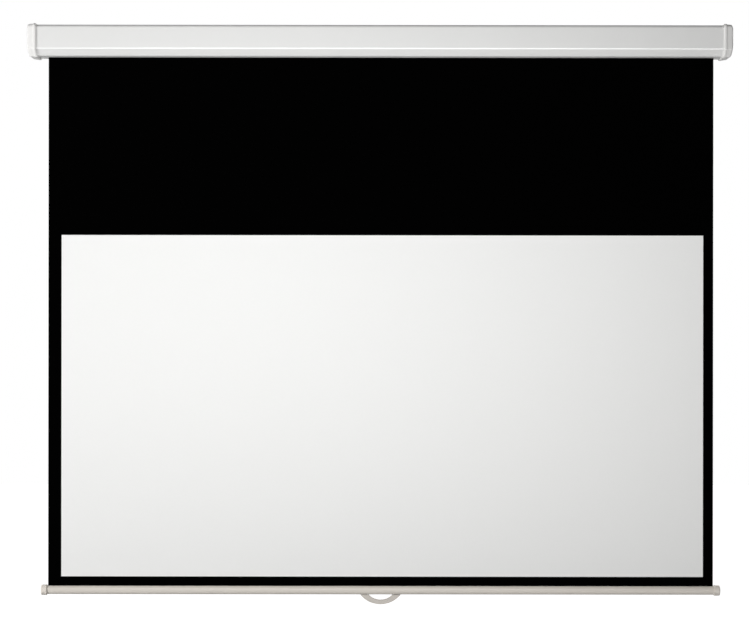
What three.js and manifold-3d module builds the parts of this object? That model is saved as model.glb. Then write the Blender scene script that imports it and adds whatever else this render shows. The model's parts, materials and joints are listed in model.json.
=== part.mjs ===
// A manual pull-down projector screen, fully drawn down, in millimetres with +Z up.
// X runs along the case, the front faces -Y and the wall is at y = 0, behind the case.
// The origin is the middle of the flat back of the case.

import * as THREE from 'three';
import { mergeVertices } from 'three/addons/utils/BufferGeometryUtils.js';
import Module from 'manifold-3d';

const wasm = await Module();
wasm.setup();

// Clearances
const seatGap = 0.3;
const overrun = 2;

// Screen fabric, the turns left on the roller, and its drop below the case
const fabricWidth = 1550;
const fabricThickness = 0.45;
const wrapTurns = 1.5;
const wrapGap = 0.15;
const dropLength = 1230;
const hemRodRadius = 2.5;
const hemRodInset = 5;

// Housing: a rolled steel section with a chamfered lower front and a slot underneath
const caseHeight = 70;
const caseDepth = 76;
const caseWall = 1.4;
const chamferHeight = 14.5;
const chamferDepth = 22;
const caseTopRadius = 8;
const caseBackRadius = 4;
const creaseRadius = 4;
const chamferFootRadius = 6;
const slotWidth = 18;
const lipHeight = 5;
const lipRadius = 2;

// End caps: mouldings with a half-round rim over the housing's cut edge
const capLength = 17;
const capWall = 3.4;
const rimWidth = 8;
const rimHeight = 3;
const rimCentreReach = -1;
const rimStart = Math.PI / 6;
const capProud = 2;
const capTaper = 1.4;
const capTopRadius = 5;
const capFrontRadius = 4;
const capBottomRadius = 5;
const tongueLength = 16;
const tongueThickness = 2;
const tongueRoot = 3;
const topTongueWidth = 46;
const backTongueWidth = 40;
const bottomTongueWidth = 16;
const keyholeHeadRadius = 4.5;
const keyholeSlotRadius = 2.3;
const keyholeRise = 9;

// Screws that hold the caps and the ratchet bracket
const screwRadius = 1.5;
const screwHeadRadius = 3.2;
const screwHeadHeight = 2;
const screwClearance = 0.3;
const capScrewLength = 7;
const capScrewReach = -10;
const capScrewSpacing = 30;

// Ratchet bracket: a steel plate inside the left cap
const bracketThickness = 2;
const bracketScrewSpacing = 38;
const bracketScrewLength = 10;
const bossRadius = 4;

// Roller: an aluminium tube on a spring spindle at the left and a plain pin at the right
const rollerSetback = 40;
const rollerRise = 2;
const rollerRadius = 19;
const tubeWall = 1.2;
const tubeMargin = 6;
const ratchetPlay = 3.2;
const idlePlay = 1.5;
const plugFlange = 5;
const plugSpigot = 22;
const rivetRadius = 1.2;
const rivetHeadRadius = 1.9;
const rivetHeadHeight = 0.8;
const rivetLength = 5;
const rivetInset = 3;

// Spindle with its flat blade, and the notched ratchet wheel on it
const spindleRadius = 4;
const bladeWidth = 6;
const bladeThickness = 3;
const bladeReach = 4;
const bladeShoulder = 3;
const wheelRadius = 9.5;
const wheelThickness = 4;
const wheelGap = 0.5;
const notchCount = 4;
const notchDepth = 2.4;
const notchShare = 0.3;

// Pawls on the plug, which fall into the notches when the roller stops
const pawlPinRadius = 1.4;
const pawlPinOrbit = 14.2;
const pawlEyeRadius = 2.8;
const pawlThickness = 3.4;
const pawlSweep = 0.87;
const pawlTipWidth = 2.6;
const pawlPinHead = 0.8;
const pawlPinHeadShare = 0.8;

// Torsion spring round the spindle, its hub on the plug and its fixed anchor
const springCurls = 32;
const springPitch = 9;
const springRadius = 9;
const wireRadius = 0.9;
const hubGap = 0.4;
const hubLength = 16;
const anchorFlange = 4;
const anchorFlangeRadius = 10;
const anchorTail = 3;
const clipThickness = 1;
const clipGap = 0.5;

// Plain pin and bush at the right
const gudgeonRadius = 4;
const gudgeonReach = 6;
const bushRadius = 7;
const bushFlangeRadius = 9;
const bushFlange = 2;
const bushReach = 7.7;
const idleBossRadius = 10;
const idleBossLength = 4;

// Weight bar along the bottom of the fabric
const barRadius = 10;
const barWall = 1.2;
const barSlotWidth = 3;
const barMargin = 2.5;
const barCapRadius = 12;
const barCapGrip = 9;
const barCapEnd = 4;
const barCapRound = 2.5;
const barCapBead = 0.4;
const barCapBeadWidth = 2;

// Pull handle, which swings on a pin inside the bar
const handleHalfWidth = 46;
const handleDepth = 20.5;
const fingerHalfWidth = 27;
const fingerDepth = 10.5;
const handleThickness = 8;
const handleBevel = 1.3;
const handleGap = 0.8;
const tabOffset = 36.5;
const tabWidth = 12;
const tabThickness = 4;
const tabSlotHalf = 6;
const tabSlotEase = 1;
const tabRoot = 3;
const handlePinRadius = 2;
const handlePinDrop = 3;
const handleEyeRadius = 4.4;
const pinBlockStart = 45;
const pinBlockWidth = 14;
const pinGrip = 7;
const pinBlockRise = 1.5;
const blockScrewInset = 3.5;
const blockScrewLength = 7;
const blockScrewTurn = Math.PI / 3;

// Facet counts
const cornerSteps = 4;
const roundSides = 24;
const smallSides = 12;
const rimSteps = 5;
const capSteps = 6;
const hollowSteps = 3;
const wrapSteps = 36;
const helixSteps = 8;
const wireSides = 5;
const arcSteps = 18;

// Places worked out from the sizes
const ratchetRoom = bracketThickness + screwHeadHeight + ratchetPlay
  + pawlPinHead + wheelThickness + wheelGap + plugFlange;
const idleRoom = plugFlange + idlePlay + bushFlange + idleBossLength;
const tubeLength = fabricWidth + 2 * tubeMargin;
const halfHousing = (tubeLength + ratchetRoom + idleRoom) / 2;
const halfHeight = caseHeight / 2;
const ratchetEnd = -halfHousing + ratchetRoom;
const idleEnd = halfHousing - idleRoom;
const rollerShift = (ratchetEnd + idleEnd) / 2;
const rollerY = -rollerSetback;
const rollerZ = rollerRise;
const tubeInner = rollerRadius - tubeWall;
const wrapPitch = fabricThickness + wrapGap;
const fabricInnerRadius = rollerRadius + seatGap + wrapTurns * wrapPitch;
const fabricY = rollerY + fabricInnerRadius + fabricThickness / 2;
const barZ = -halfHeight - dropLength - barRadius;
const barInner = barRadius - barWall;
const hemRadius = hemRodRadius + seatGap + fabricThickness;
const hemRise = barInner - seatGap - hemRadius;
const springInner = springRadius * Math.cos(Math.PI / helixSteps) - wireRadius;
const hubRadius = springInner - hubGap;
const springStart = ratchetEnd + plugSpigot + hubGap + wireRadius;
const springEnd = springStart + springCurls * springPitch;
const anchorStart = springEnd - hubLength;
const anchorSeat = springEnd + wireRadius + hubGap;
const anchorEnd = anchorSeat + anchorFlange;
const wheelEnd = ratchetEnd - plugFlange - wheelGap;
const wheelStart = wheelEnd - wheelThickness;
const pawlTurns = [Math.PI / 2, 3 * Math.PI / 2];
const topTongueY = -(caseDepth + caseBackRadius - caseTopRadius) / 2;
const barHalf = fabricWidth / 2 + barMargin + barCapGrip;
const blockScrewX = pinBlockStart + pinBlockWidth - blockScrewInset;

const materials = {
  whiteSteel: standard(0xe2e2e0, 0.45, 0.1),
  whiteMoulding: standard(0xe4e3df, 0.5, 0),
  ivoryMetal: standard(0xd2cbc1, 0.42, 0.15),
  ivoryMoulding: standard(0xd6d0c6, 0.5, 0),
  zincSteel: standard(0xa9abad, 0.35, 0.9),
  springSteel: standard(0x6f7276, 0.35, 0.9),
  aluminium: standard(0xc4c6c8, 0.4, 0.9),
  greyNylon: standard(0x55585b, 0.6, 0),
  blackNylon: standard(0x232426, 0.6, 0),
  blackFabric: standard(0x0c0c0c, 0.85, 0),
};

const screen = new THREE.Group();
const roller = new THREE.Group();
roller.position.set(0, rollerY, rollerZ);
const bar = new THREE.Group();
bar.position.set(rollerShift, fabricY, barZ);
screen.add(roller, bar);

function standard(color, roughness, metalness) {
  return new THREE.MeshStandardMaterial({ color, roughness, metalness });
}

function addPiece(parent, name, geometry, material) {
  const mesh = new THREE.Mesh(geometry, material);
  mesh.name = name;
  parent.add(mesh);
  return mesh;
}

// Closed meshes and their joins and cuts

function toSolid(geometry) {
  const bare = geometry.clone();
  bare.deleteAttribute('normal');
  bare.deleteAttribute('uv');
  const merged = mergeVertices(bare);
  return new wasm.Manifold(new wasm.Mesh({
    numProp: 3,
    vertProperties: Float32Array.from(merged.attributes.position.array),
    triVerts: Uint32Array.from(merged.index.array),
  }));
}

function toGeometry(solid) {
  const mesh = solid.getMesh();
  const geometry = new THREE.BufferGeometry();
  geometry.setAttribute('position', new THREE.BufferAttribute(mesh.vertProperties, 3));
  geometry.setIndex(new THREE.BufferAttribute(mesh.triVerts, 1));
  geometry.computeVertexNormals();
  return geometry;
}

function shaped(base, { joined = [], cuts = [] }) {
  let solid = toSolid(base);
  for (const geometry of joined) solid = solid.add(toSolid(geometry));
  for (const geometry of cuts) solid = solid.subtract(toSolid(geometry));
  return toGeometry(solid);
}

// Outlines

function point(u, v) {
  return new THREE.Vector2(u, v);
}

function arc(centreU, centreV, radius, from, to, steps) {
  return Array.from({ length: steps + 1 }, (_, i) => {
    const angle = from + (to - from) * i / steps;
    return point(centreU + radius * Math.cos(angle), centreV + radius * Math.sin(angle));
  });
}

function roundedCorner(before, corner, after, radius) {
  if (radius <= 0) return [corner.clone()];
  const back = before.clone().sub(corner).normalize();
  const ahead = after.clone().sub(corner).normalize();
  const half = Math.acos(back.dot(ahead)) / 2;
  const toCentre = back.clone().add(ahead).normalize();
  const centre = corner.clone().addScaledVector(toCentre, radius / Math.sin(half));
  const start = corner.clone().addScaledVector(back, radius / Math.tan(half)).sub(centre).angle();
  const end = corner.clone().addScaledVector(ahead, radius / Math.tan(half)).sub(centre).angle();
  const sweep = Math.atan2(Math.sin(end - start), Math.cos(end - start));
  return arc(centre.x, centre.y, radius, start, start + sweep, cornerSteps);
}

function rounded(corners, radii) {
  const last = corners.length;
  return corners.flatMap((corner, i) =>
    roundedCorner(corners[(i + last - 1) % last], corner, corners[(i + 1) % last], radii[i]));
}

// Moves each edge of a clockwise outline inwards by its own distance
function inset(corners, distances, closed = true) {
  const edges = corners.map((corner, i) => {
    const along = corners[(i + 1) % corners.length].clone().sub(corner).normalize();
    const inward = point(along.y, -along.x);
    return { along, start: corner.clone().addScaledVector(inward, distances[i]), inward };
  });
  return corners.map((corner, i) => {
    const edge = edges[i];
    if (!closed && i === 0) return edge.start;
    const before = edges[(i + edges.length - 1) % edges.length];
    if (!closed && i === corners.length - 1) {
      return corner.clone().addScaledVector(before.inward, distances[i - 1]);
    }
    const gap = edge.start.clone().sub(before.start);
    const share = gap.cross(edge.along) / before.along.cross(edge.along);
    return before.start.clone().addScaledVector(before.along, share);
  });
}

function roundShape(radius, sides = roundSides) {
  return new THREE.Shape(arc(0, 0, radius, 0, 2 * Math.PI * (1 - 1 / sides), sides - 1));
}

function rectangle(lowU, lowV, highU, highV) {
  return new THREE.Shape([point(lowU, lowV), point(highU, lowV), point(highU, highV), point(lowU, highV)]);
}

// Solids along an axis: a shape's u and v are Y and Z along X, X and Z along Y, X and Y along Z

function extrude(shape, length) {
  return new THREE.ExtrudeGeometry(shape, { depth: length, bevelEnabled: false });
}

function alongX(shape, from, to, y = 0, z = 0) {
  const low = Math.min(from, to);
  const basis = new THREE.Matrix4().makeBasis(
    new THREE.Vector3(0, 1, 0), new THREE.Vector3(0, 0, 1), new THREE.Vector3(1, 0, 0));
  return extrude(shape, Math.abs(to - from)).applyMatrix4(basis).translate(low, y, z);
}

function alongY(shape, front, back, x = 0, z = 0) {
  return extrude(shape, back - front).rotateX(Math.PI / 2).translate(x, back, z);
}

function alongZ(shape, low, high, x = 0, y = 0) {
  return extrude(shape, high - low).translate(x, y, low);
}

function box(lowX, lowY, lowZ, highX, highY, highZ) {
  return new THREE.BoxGeometry(Math.abs(highX - lowX), highY - lowY, highZ - lowZ)
    .translate((lowX + highX) / 2, (lowY + highY) / 2, (lowZ + highZ) / 2);
}

// Turns a closed or axis-to-axis profile of radius and place about X
function turnedAlongX(profile, sides = roundSides) {
  return new THREE.LatheGeometry(profile, sides).rotateZ(-Math.PI / 2);
}

// Skins a row of outlines, given as { x, outline }, and closes both ends
function loftAlongX(sections) {
  const rings = [...sections].sort((a, b) => a.x - b.x);
  const turned = THREE.ShapeUtils.area(rings[0].outline) < 0;
  const outlines = rings.map(({ outline }) => turned ? [...outline].reverse() : outline);
  const count = outlines[0].length;
  const positions = outlines.flatMap((outline, k) => outline.flatMap((p) => [rings[k].x, p.x, p.y]));
  const indices = [];
  for (let k = 0; k + 1 < rings.length; k++) {
    for (let i = 0; i < count; i++) {
      const a = k * count + i;
      const b = k * count + (i + 1) % count;
      indices.push(a, b, a + count, b, b + count, a + count);
    }
  }
  const top = (rings.length - 1) * count;
  for (const [a, b, c] of THREE.ShapeUtils.triangulateShape(outlines.at(-1), [])) {
    indices.push(top + a, top + b, top + c);
  }
  for (const [a, b, c] of THREE.ShapeUtils.triangulateShape(outlines[0], [])) indices.push(a, c, b);
  const geometry = new THREE.BufferGeometry();
  geometry.setAttribute('position', new THREE.Float32BufferAttribute(positions, 3));
  geometry.setIndex(indices);
  return geometry;
}

// Case section

const slotFront = point(fabricY - slotWidth / 2, -halfHeight);
const slotBack = point(fabricY + slotWidth / 2, -halfHeight);
const bottomBack = point(0, -halfHeight);
const chamferFoot = point(-caseDepth + chamferDepth, -halfHeight);
const crease = point(-caseDepth, -halfHeight + chamferHeight);
const topFront = point(-caseDepth, halfHeight);
const topBack = point(0, halfHeight);
const caseCorners = [bottomBack, chamferFoot, crease, topFront, topBack];
const caseRadii = [caseBackRadius, chamferFootRadius, creaseRadius, caseTopRadius, caseBackRadius];

function housing() {
  const lipUp = point(0, lipHeight);
  const outer = [
    slotFront.clone().add(lipUp), slotFront, chamferFoot, crease, topFront, topBack, bottomBack, slotBack,
    slotBack.clone().add(lipUp),
  ];
  const radii = [0, lipRadius, chamferFootRadius, creaseRadius, caseTopRadius,
    caseBackRadius, caseBackRadius, lipRadius, 0];
  const inner = inset(outer, outer.map(() => caseWall), false);
  const innerRadii = radii.map((radius) => Math.max(radius - caseWall, 0));
  const section = [...rounded(outer, radii), ...rounded(inner, innerRadii).reverse()];
  const screwHole = roundShape(screwRadius + screwClearance, smallSides);
  const holes = [];
  for (const side of [-1, 1]) {
    for (const y of capScrewPlaces()) {
      holes.push(alongZ(screwHole, halfHeight - caseWall - overrun, halfHeight + overrun,
        capPlace(side, capScrewReach), y));
    }
  }
  return shaped(alongX(new THREE.Shape(section), -halfHousing, halfHousing), { cuts: holes });
}

// End caps: reach is measured outwards from the end of the housing

function capPlace(side, reach) {
  return side * (halfHousing + reach);
}

function capScrewPlaces() {
  return [-1, 1].map((end) => topTongueY + end * capScrewSpacing / 2);
}

// How far an edge of the given radius has fallen at a distance from the cap's end
function edgeFall(fromEnd, radius) {
  if (fromEnd >= radius) return 0;
  const share = (radius - fromEnd) / radius;
  return radius * (1 - Math.sqrt(Math.max(1 - share * share, 0)));
}

function capOutline(fromEnd, swell, wall) {
  const bottom = edgeFall(fromEnd, capBottomRadius) - swell + wall;
  const front = edgeFall(fromEnd, capFrontRadius) - swell + wall;
  const top = edgeFall(fromEnd, capTopRadius) - swell + wall;
  const radii = caseRadii.map((radius) => Math.max(radius - wall, caseWall / 2));
  return rounded(inset(caseCorners, [bottom, bottom, front, top, wall]), radii);
}

// The body stands proud of the housing where the rim ends, and tapers from there to the cap's end
function bodySwell(fromEnd) {
  const bodyLength = capLength - rimCentreReach - rimWidth / 2;
  return capProud - capTaper * (1 - fromEnd / bodyLength);
}

function capSkin(side) {
  const rim = Array.from({ length: rimSteps + 1 }, (_, i) => {
    const angle = rimStart + (Math.PI - rimStart) * i / rimSteps;
    const reach = rimCentreReach - Math.cos(angle) * rimWidth / 2;
    const base = angle > Math.PI / 2 ? capProud : 0;
    const swell = base + (rimHeight - base) * Math.sin(angle);
    return { x: capPlace(side, reach), outline: capOutline(capLength, swell, 0) };
  });
  return loftAlongX([...rim, ...capRounding(side, capLength, 0, capSteps, bodySwell)]);
}

function capRounding(side, endReach, wall, steps, swellAt = () => 0) {
  return Array.from({ length: steps + 1 }, (_, i) => {
    const fromEnd = capBottomRadius * (1 - Math.sin(Math.PI / 2 * i / steps));
    return { x: capPlace(side, endReach - fromEnd), outline: capOutline(fromEnd, swellAt(fromEnd), wall) };
  });
}

function capHollow(side) {
  const mouth = { x: capPlace(side, -overrun), outline: capOutline(capLength, 0, capWall) };
  return loftAlongX([mouth, ...capRounding(side, capLength - capWall, capWall, hollowSteps)]);
}

// The space that the end of the housing fills inside the rim
function capMouth(side) {
  const grown = inset(caseCorners, [-seatGap, -seatGap, -seatGap, -seatGap, -overrun]);
  const radii = [0, chamferFootRadius, creaseRadius, caseTopRadius, 0];
  const outline = new THREE.Shape(rounded(grown, radii));
  return alongX(outline, capPlace(side, 0), capPlace(side, -rimWidth));
}

function capTongues(side) {
  const near = capPlace(side, tongueRoot);
  const far = capPlace(side, -tongueLength);
  const outer = caseWall + seatGap;
  const inner = outer + tongueThickness;
  const bottomMiddle = (chamferFoot.x + slotFront.x - caseWall) / 2;
  const tongue = (lowY, lowZ, highY, highZ) => alongX(rectangle(lowY, lowZ, highY, highZ), near, far);
  return [
    tongue(topTongueY - topTongueWidth / 2, halfHeight - inner,
      topTongueY + topTongueWidth / 2, halfHeight - outer),
    tongue(-inner, -backTongueWidth / 2, -outer, backTongueWidth / 2),
    tongue(bottomMiddle - bottomTongueWidth / 2, -halfHeight + outer,
      bottomMiddle + bottomTongueWidth / 2, -halfHeight + inner),
  ];
}

function keyhole(side) {
  const x = capPlace(side, (capLength - capWall) / 2);
  const slotAngle = Math.asin(keyholeSlotRadius / keyholeHeadRadius);
  const outline = new THREE.Shape([
    ...arc(0, 0, keyholeHeadRadius, Math.PI / 2 + slotAngle, 5 * Math.PI / 2 - slotAngle, roundSides),
    ...arc(0, keyholeRise, keyholeSlotRadius, 0, Math.PI, smallSides),
  ]);
  return alongY(outline, -capWall - overrun, overrun, x, 0);
}

function capScrewHoles(side) {
  const hole = roundShape(screwRadius + screwClearance, smallSides);
  return capScrewPlaces().map((y) => alongZ(hole, halfHeight - caseWall - capScrewLength - overrun,
    halfHeight, capPlace(side, capScrewReach), y));
}

function endCap(side, joined, cuts) {
  const shell = shaped(capSkin(side), { cuts: [capHollow(side), capMouth(side)] });
  return shaped(shell, {
    joined: [...capTongues(side), ...joined],
    cuts: [keyhole(side), ...capScrewHoles(side), ...cuts],
  });
}

function bracketScrewPlaces() {
  return [-1, 1].map((end) => rollerZ + end * bracketScrewSpacing / 2);
}

function ratchetCap() {
  const root = capPlace(-1, capLength - capWall / 2);
  const bosses = bracketScrewPlaces().map((z) =>
    alongX(roundShape(bossRadius, smallSides), root, capPlace(-1, 0), rollerY, z));
  const hole = roundShape(screwRadius + screwClearance, smallSides);
  const pilots = bracketScrewPlaces().map((z) => alongX(hole, capPlace(-1, -overrun),
    capPlace(-1, bracketScrewLength - bracketThickness + screwClearance), rollerY, z));
  return endCap(-1, bosses, pilots);
}

function idleCap() {
  const boss = alongX(roundShape(idleBossRadius), capPlace(1, capLength - capWall / 2),
    capPlace(1, -idleBossLength), rollerY, rollerZ);
  const socket = alongX(roundShape(bushRadius + seatGap), capPlace(1, -idleBossLength - overrun),
    capPlace(1, bushReach + seatGap), rollerY, rollerZ);
  return endCap(1, [boss], [socket]);
}

// A quarter of an ellipse, from its widest place to its tip on the axis
function dome(radius, height, base) {
  const profile = arc(0, 0, 1, 0, Math.PI / 2, cornerSteps)
    .map((p) => point(radius * p.x, base + height * p.y));
  profile.at(-1).x = 0;
  return profile;
}

// A screw with a domed head, its head's seat at 0 and its shank pointing down -X
function screw(length) {
  const shank = [point(0, -length), point(screwRadius, -length + screwRadius), point(screwRadius, 0)];
  return turnedAlongX([...shank, ...dome(screwHeadRadius, screwHeadHeight, 0)], smallSides);
}

// Spindle, ratchet wheel and what the bracket holds still

// The plate lies inside the cap's tongues and above the lips of the slot
function ratchetBracket() {
  const side = caseWall + tongueThickness + 2 * seatGap;
  const bottom = Math.max(lipHeight, caseWall + tongueThickness) + 2 * seatGap;
  const corners = inset(caseCorners, [bottom, side, side, side, side]);
  const radii = caseRadii.map((radius) => Math.max(radius - side, 0));
  const outline = new THREE.Shape(rounded(corners, radii));
  const plate = alongX(outline, capPlace(-1, 0), capPlace(-1, -bracketThickness));
  const slot = rectangle(-bladeThickness / 2 - seatGap, -bladeWidth / 2 - seatGap,
    bladeThickness / 2 + seatGap, bladeWidth / 2 + seatGap);
  const ends = [capPlace(-1, overrun), capPlace(-1, -bracketThickness - overrun)];
  const hole = roundShape(screwRadius + screwClearance, smallSides);
  return shaped(plate, {
    cuts: [
      alongX(slot, ...ends, rollerY, rollerZ),
      ...bracketScrewPlaces().map((z) => alongX(hole, ...ends, rollerY, z)),
    ],
  });
}

function spindle() {
  const shoulder = capPlace(-1, -bracketThickness - bladeShoulder);
  const rod = alongX(roundShape(spindleRadius, smallSides), shoulder, anchorEnd + anchorTail);
  const blade = rectangle(-bladeThickness / 2, -bladeWidth / 2, bladeThickness / 2, bladeWidth / 2);
  return shaped(rod, { joined: [alongX(blade, capPlace(-1, bladeReach), shoulder + overrun)] });
}

// Each notch falls steeply on one flank and climbs back along a ramp
function ratchetWheel() {
  const outline = Array.from({ length: notchCount }, (_, i) => {
    const start = 2 * Math.PI * i / notchCount;
    const ramp = 2 * Math.PI * notchShare / notchCount;
    const floor = wheelRadius - notchDepth;
    const climb = point(floor * Math.cos(start), floor * Math.sin(start));
    const end = start + 2 * Math.PI / notchCount;
    return [climb, ...arc(0, 0, wheelRadius, start + ramp, end, cornerSteps)];
  }).flat();
  const bore = alongX(roundShape(spindleRadius + seatGap, smallSides),
    wheelStart - overrun, wheelEnd + overrun);
  return shaped(alongX(new THREE.Shape(outline), wheelStart, wheelEnd), { cuts: [bore] });
}

function springAnchor() {
  const hub = alongX(roundShape(hubRadius), anchorStart, anchorEnd);
  const flange = alongX(roundShape(anchorFlangeRadius), anchorSeat, anchorEnd);
  const bore = alongX(roundShape(spindleRadius + seatGap, smallSides),
    anchorStart - overrun, anchorEnd + overrun);
  return shaped(hub, { joined: [flange], cuts: [bore] });
}

function spindleClip() {
  const start = ratchetEnd + plugSpigot + hubLength + clipGap;
  const inner = spindleRadius + seatGap;
  return turnedAlongX([
    point(inner, start), point(hubRadius, start), point(hubRadius, start + clipThickness),
    point(inner, start + clipThickness), point(inner, start),
  ], smallSides);
}

// A helix of round wire along X, closed at both ends
function helixPoints() {
  return Array.from({ length: springCurls * helixSteps + 1 }, (_, i) => {
    const turn = 2 * Math.PI * i / helixSteps;
    return new THREE.Vector3(springStart + springPitch * i / helixSteps,
      springRadius * Math.cos(turn), springRadius * Math.sin(turn));
  });
}

function leastSelfGap(points) {
  let least = Infinity;
  for (let i = 0; i < points.length; i++) {
    for (let j = i + helixSteps / 2; j < points.length; j++) {
      least = Math.min(least, points[i].distanceTo(points[j]));
    }
  }
  return least - 2 * wireRadius;
}

function torsionSpring() {
  const centres = helixPoints();
  console.log('least gap between the spring\'s curls', leastSelfGap(centres).toFixed(2), 'mm');
  const positions = [];
  const indices = [];
  centres.forEach((centre, k) => {
    const turn = 2 * Math.PI * k / helixSteps;
    const out = new THREE.Vector3(0, Math.cos(turn), Math.sin(turn));
    const run = new THREE.Vector3(springPitch, -2 * Math.PI * springRadius * Math.sin(turn),
      2 * Math.PI * springRadius * Math.cos(turn)).normalize();
    const side = run.clone().cross(out);
    for (let i = 0; i < wireSides; i++) {
      const angle = 2 * Math.PI * i / wireSides;
      positions.push(...centre.clone().addScaledVector(out, wireRadius * Math.cos(angle))
        .addScaledVector(side, wireRadius * Math.sin(angle)).toArray());
    }
  });
  const last = (centres.length - 1) * wireSides;
  for (let k = 0; k + 1 < centres.length; k++) {
    for (let i = 0; i < wireSides; i++) {
      const a = k * wireSides + i;
      const b = k * wireSides + (i + 1) % wireSides;
      indices.push(a, b, a + wireSides, b, b + wireSides, a + wireSides);
    }
  }
  for (let i = 1; i + 1 < wireSides; i++) {
    indices.push(0, i + 1, i, last, last + i, last + i + 1);
  }
  const geometry = new THREE.BufferGeometry();
  geometry.setAttribute('position', new THREE.Float32BufferAttribute(positions, 3));
  geometry.setIndex(indices);
  return geometry;
}

// Right-hand bearing

function idleBush() {
  const start = capPlace(1, -idleBossLength);
  const end = capPlace(1, bushReach);
  const inner = gudgeonRadius + seatGap;
  return turnedAlongX([
    point(inner, start - bushFlange), point(bushFlangeRadius, start - bushFlange),
    point(bushFlangeRadius, start), point(bushRadius, start), point(bushRadius, end),
    point(inner, end), point(inner, start - bushFlange),
  ]);
}

// Roller and what turns with it, about the axis of the tube

function rivetPlaces() {
  return { ratchet: ratchetEnd + rivetInset, idle: idleEnd - rivetInset };
}

function rivetHole(x) {
  return alongZ(roundShape(rivetRadius + seatGap, smallSides),
    rollerRadius - rivetLength - seatGap, rollerRadius + overrun, x);
}

function rollerTube() {
  const tube = alongX(roundShape(rollerRadius), ratchetEnd, idleEnd);
  const bore = alongX(roundShape(tubeInner), ratchetEnd - overrun, idleEnd + overrun);
  return shaped(tube, { cuts: [bore, ...Object.values(rivetPlaces()).map(rivetHole)] });
}

function rivet(x) {
  const foot = rollerRadius - rivetLength;
  const seat = rollerRadius;
  const profile = [point(0, foot), point(rivetRadius, foot), point(rivetRadius, seat),
    point(rivetHeadRadius, seat), point(rivetHeadRadius / 2, seat + rivetHeadHeight),
    point(0, seat + rivetHeadHeight)];
  return new THREE.LatheGeometry(profile, smallSides).rotateX(Math.PI / 2).translate(x, 0, 0);
}

function pawlPinPlace(turn) {
  return point(pawlPinOrbit * Math.cos(turn), pawlPinOrbit * Math.sin(turn));
}

function ratchetPlug() {
  const flange = alongX(roundShape(rollerRadius), ratchetEnd - plugFlange, ratchetEnd);
  const spigot = alongX(roundShape(tubeInner - seatGap), ratchetEnd - overrun, ratchetEnd + plugSpigot);
  const hub = alongX(roundShape(hubRadius), ratchetEnd, ratchetEnd + plugSpigot + hubLength);
  const bore = alongX(roundShape(spindleRadius + seatGap, smallSides),
    ratchetEnd - plugFlange - overrun, ratchetEnd + plugSpigot + hubLength + overrun);
  const pinHole = roundShape(pawlPinRadius + seatGap, smallSides);
  const pinHoles = pawlTurns.map((turn) => {
    const place = pawlPinPlace(turn);
    return alongX(pinHole, ratchetEnd - plugFlange - overrun, ratchetEnd + overrun, place.x, place.y);
  });
  return shaped(flange, {
    joined: [spigot, hub],
    cuts: [bore, ...pinHoles, rivetHole(rivetPlaces().ratchet)],
  });
}

function pawlPin(turn) {
  const place = pawlPinPlace(turn);
  const head = wheelStart - pawlPinHead;
  const headRadius = pawlEyeRadius * pawlPinHeadShare;
  const profile = [point(0, head), point(headRadius, head), point(headRadius, wheelStart),
    point(pawlPinRadius, wheelStart), point(pawlPinRadius, ratchetEnd), point(0, ratchetEnd)];
  return turnedAlongX(profile, smallSides).translate(0, place.x, place.y);
}

// A pawl curls round the wheel from its pin to a tip that is just clear of the rim
function pawl(turn) {
  const place = pawlPinPlace(turn);
  const tipRadius = wheelRadius + seatGap;
  const heelInner = pawlPinOrbit - pawlEyeRadius;
  const heelOuter = pawlPinOrbit + pawlEyeRadius;
  const inner = [];
  const outer = [];
  for (let i = 0; i <= cornerSteps; i++) {
    const share = i / cornerSteps;
    const angle = turn + pawlSweep * share;
    const low = heelInner + (tipRadius - heelInner) * share;
    const high = heelOuter + (tipRadius + pawlTipWidth - heelOuter) * share;
    inner.push(point(low * Math.cos(angle), low * Math.sin(angle)));
    outer.push(point(high * Math.cos(angle), high * Math.sin(angle)));
  }
  const heel = arc(place.x, place.y, pawlEyeRadius, turn, turn - Math.PI, cornerSteps);
  const outline = new THREE.Shape([...outer.reverse(), ...heel.slice(1, -1), ...inner]);
  const middle = (wheelStart + wheelEnd) / 2;
  const ends = [middle - pawlThickness / 2, middle + pawlThickness / 2];
  const eye = roundShape(pawlPinRadius + seatGap, smallSides);
  return shaped(alongX(outline, ...ends), {
    cuts: [alongX(eye, ends[0] - overrun, ends[1] + overrun, place.x, place.y)],
  });
}

function idlePlug() {
  const flange = alongX(roundShape(rollerRadius), idleEnd, idleEnd + plugFlange);
  const spigot = alongX(roundShape(tubeInner - seatGap), idleEnd - plugSpigot, idleEnd + overrun);
  const bore = alongX(roundShape(gudgeonRadius + seatGap, smallSides),
    idleEnd - plugSpigot - overrun, idleEnd + plugFlange + overrun);
  return shaped(flange, { joined: [spigot], cuts: [bore, rivetHole(rivetPlaces().idle)] });
}

function gudgeonPin() {
  return alongX(roundShape(gudgeonRadius, smallSides), idleEnd - plugSpigot, capPlace(1, gudgeonReach));
}

// The turns of fabric left on the roller run inwards from where the sheet leaves it at the back
function fabricWraps() {
  const faces = [0, fabricThickness].map((thickness) =>
    Array.from({ length: wrapSteps + 1 }, (_, i) => {
      const left = 1 - i / wrapSteps;
      const angle = 2 * Math.PI * wrapTurns * (1 - left);
      const radius = rollerRadius + seatGap + wrapTurns * left * wrapPitch + thickness;
      return point(radius * Math.cos(angle), radius * Math.sin(angle));
    }));
  return alongX(new THREE.Shape([...faces[1], ...faces[0].reverse()]),
    rollerShift - fabricWidth / 2, rollerShift + fabricWidth / 2);
}

// Screen: the sheet ends in a hem round a rod, which hangs inside the weight bar

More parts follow.
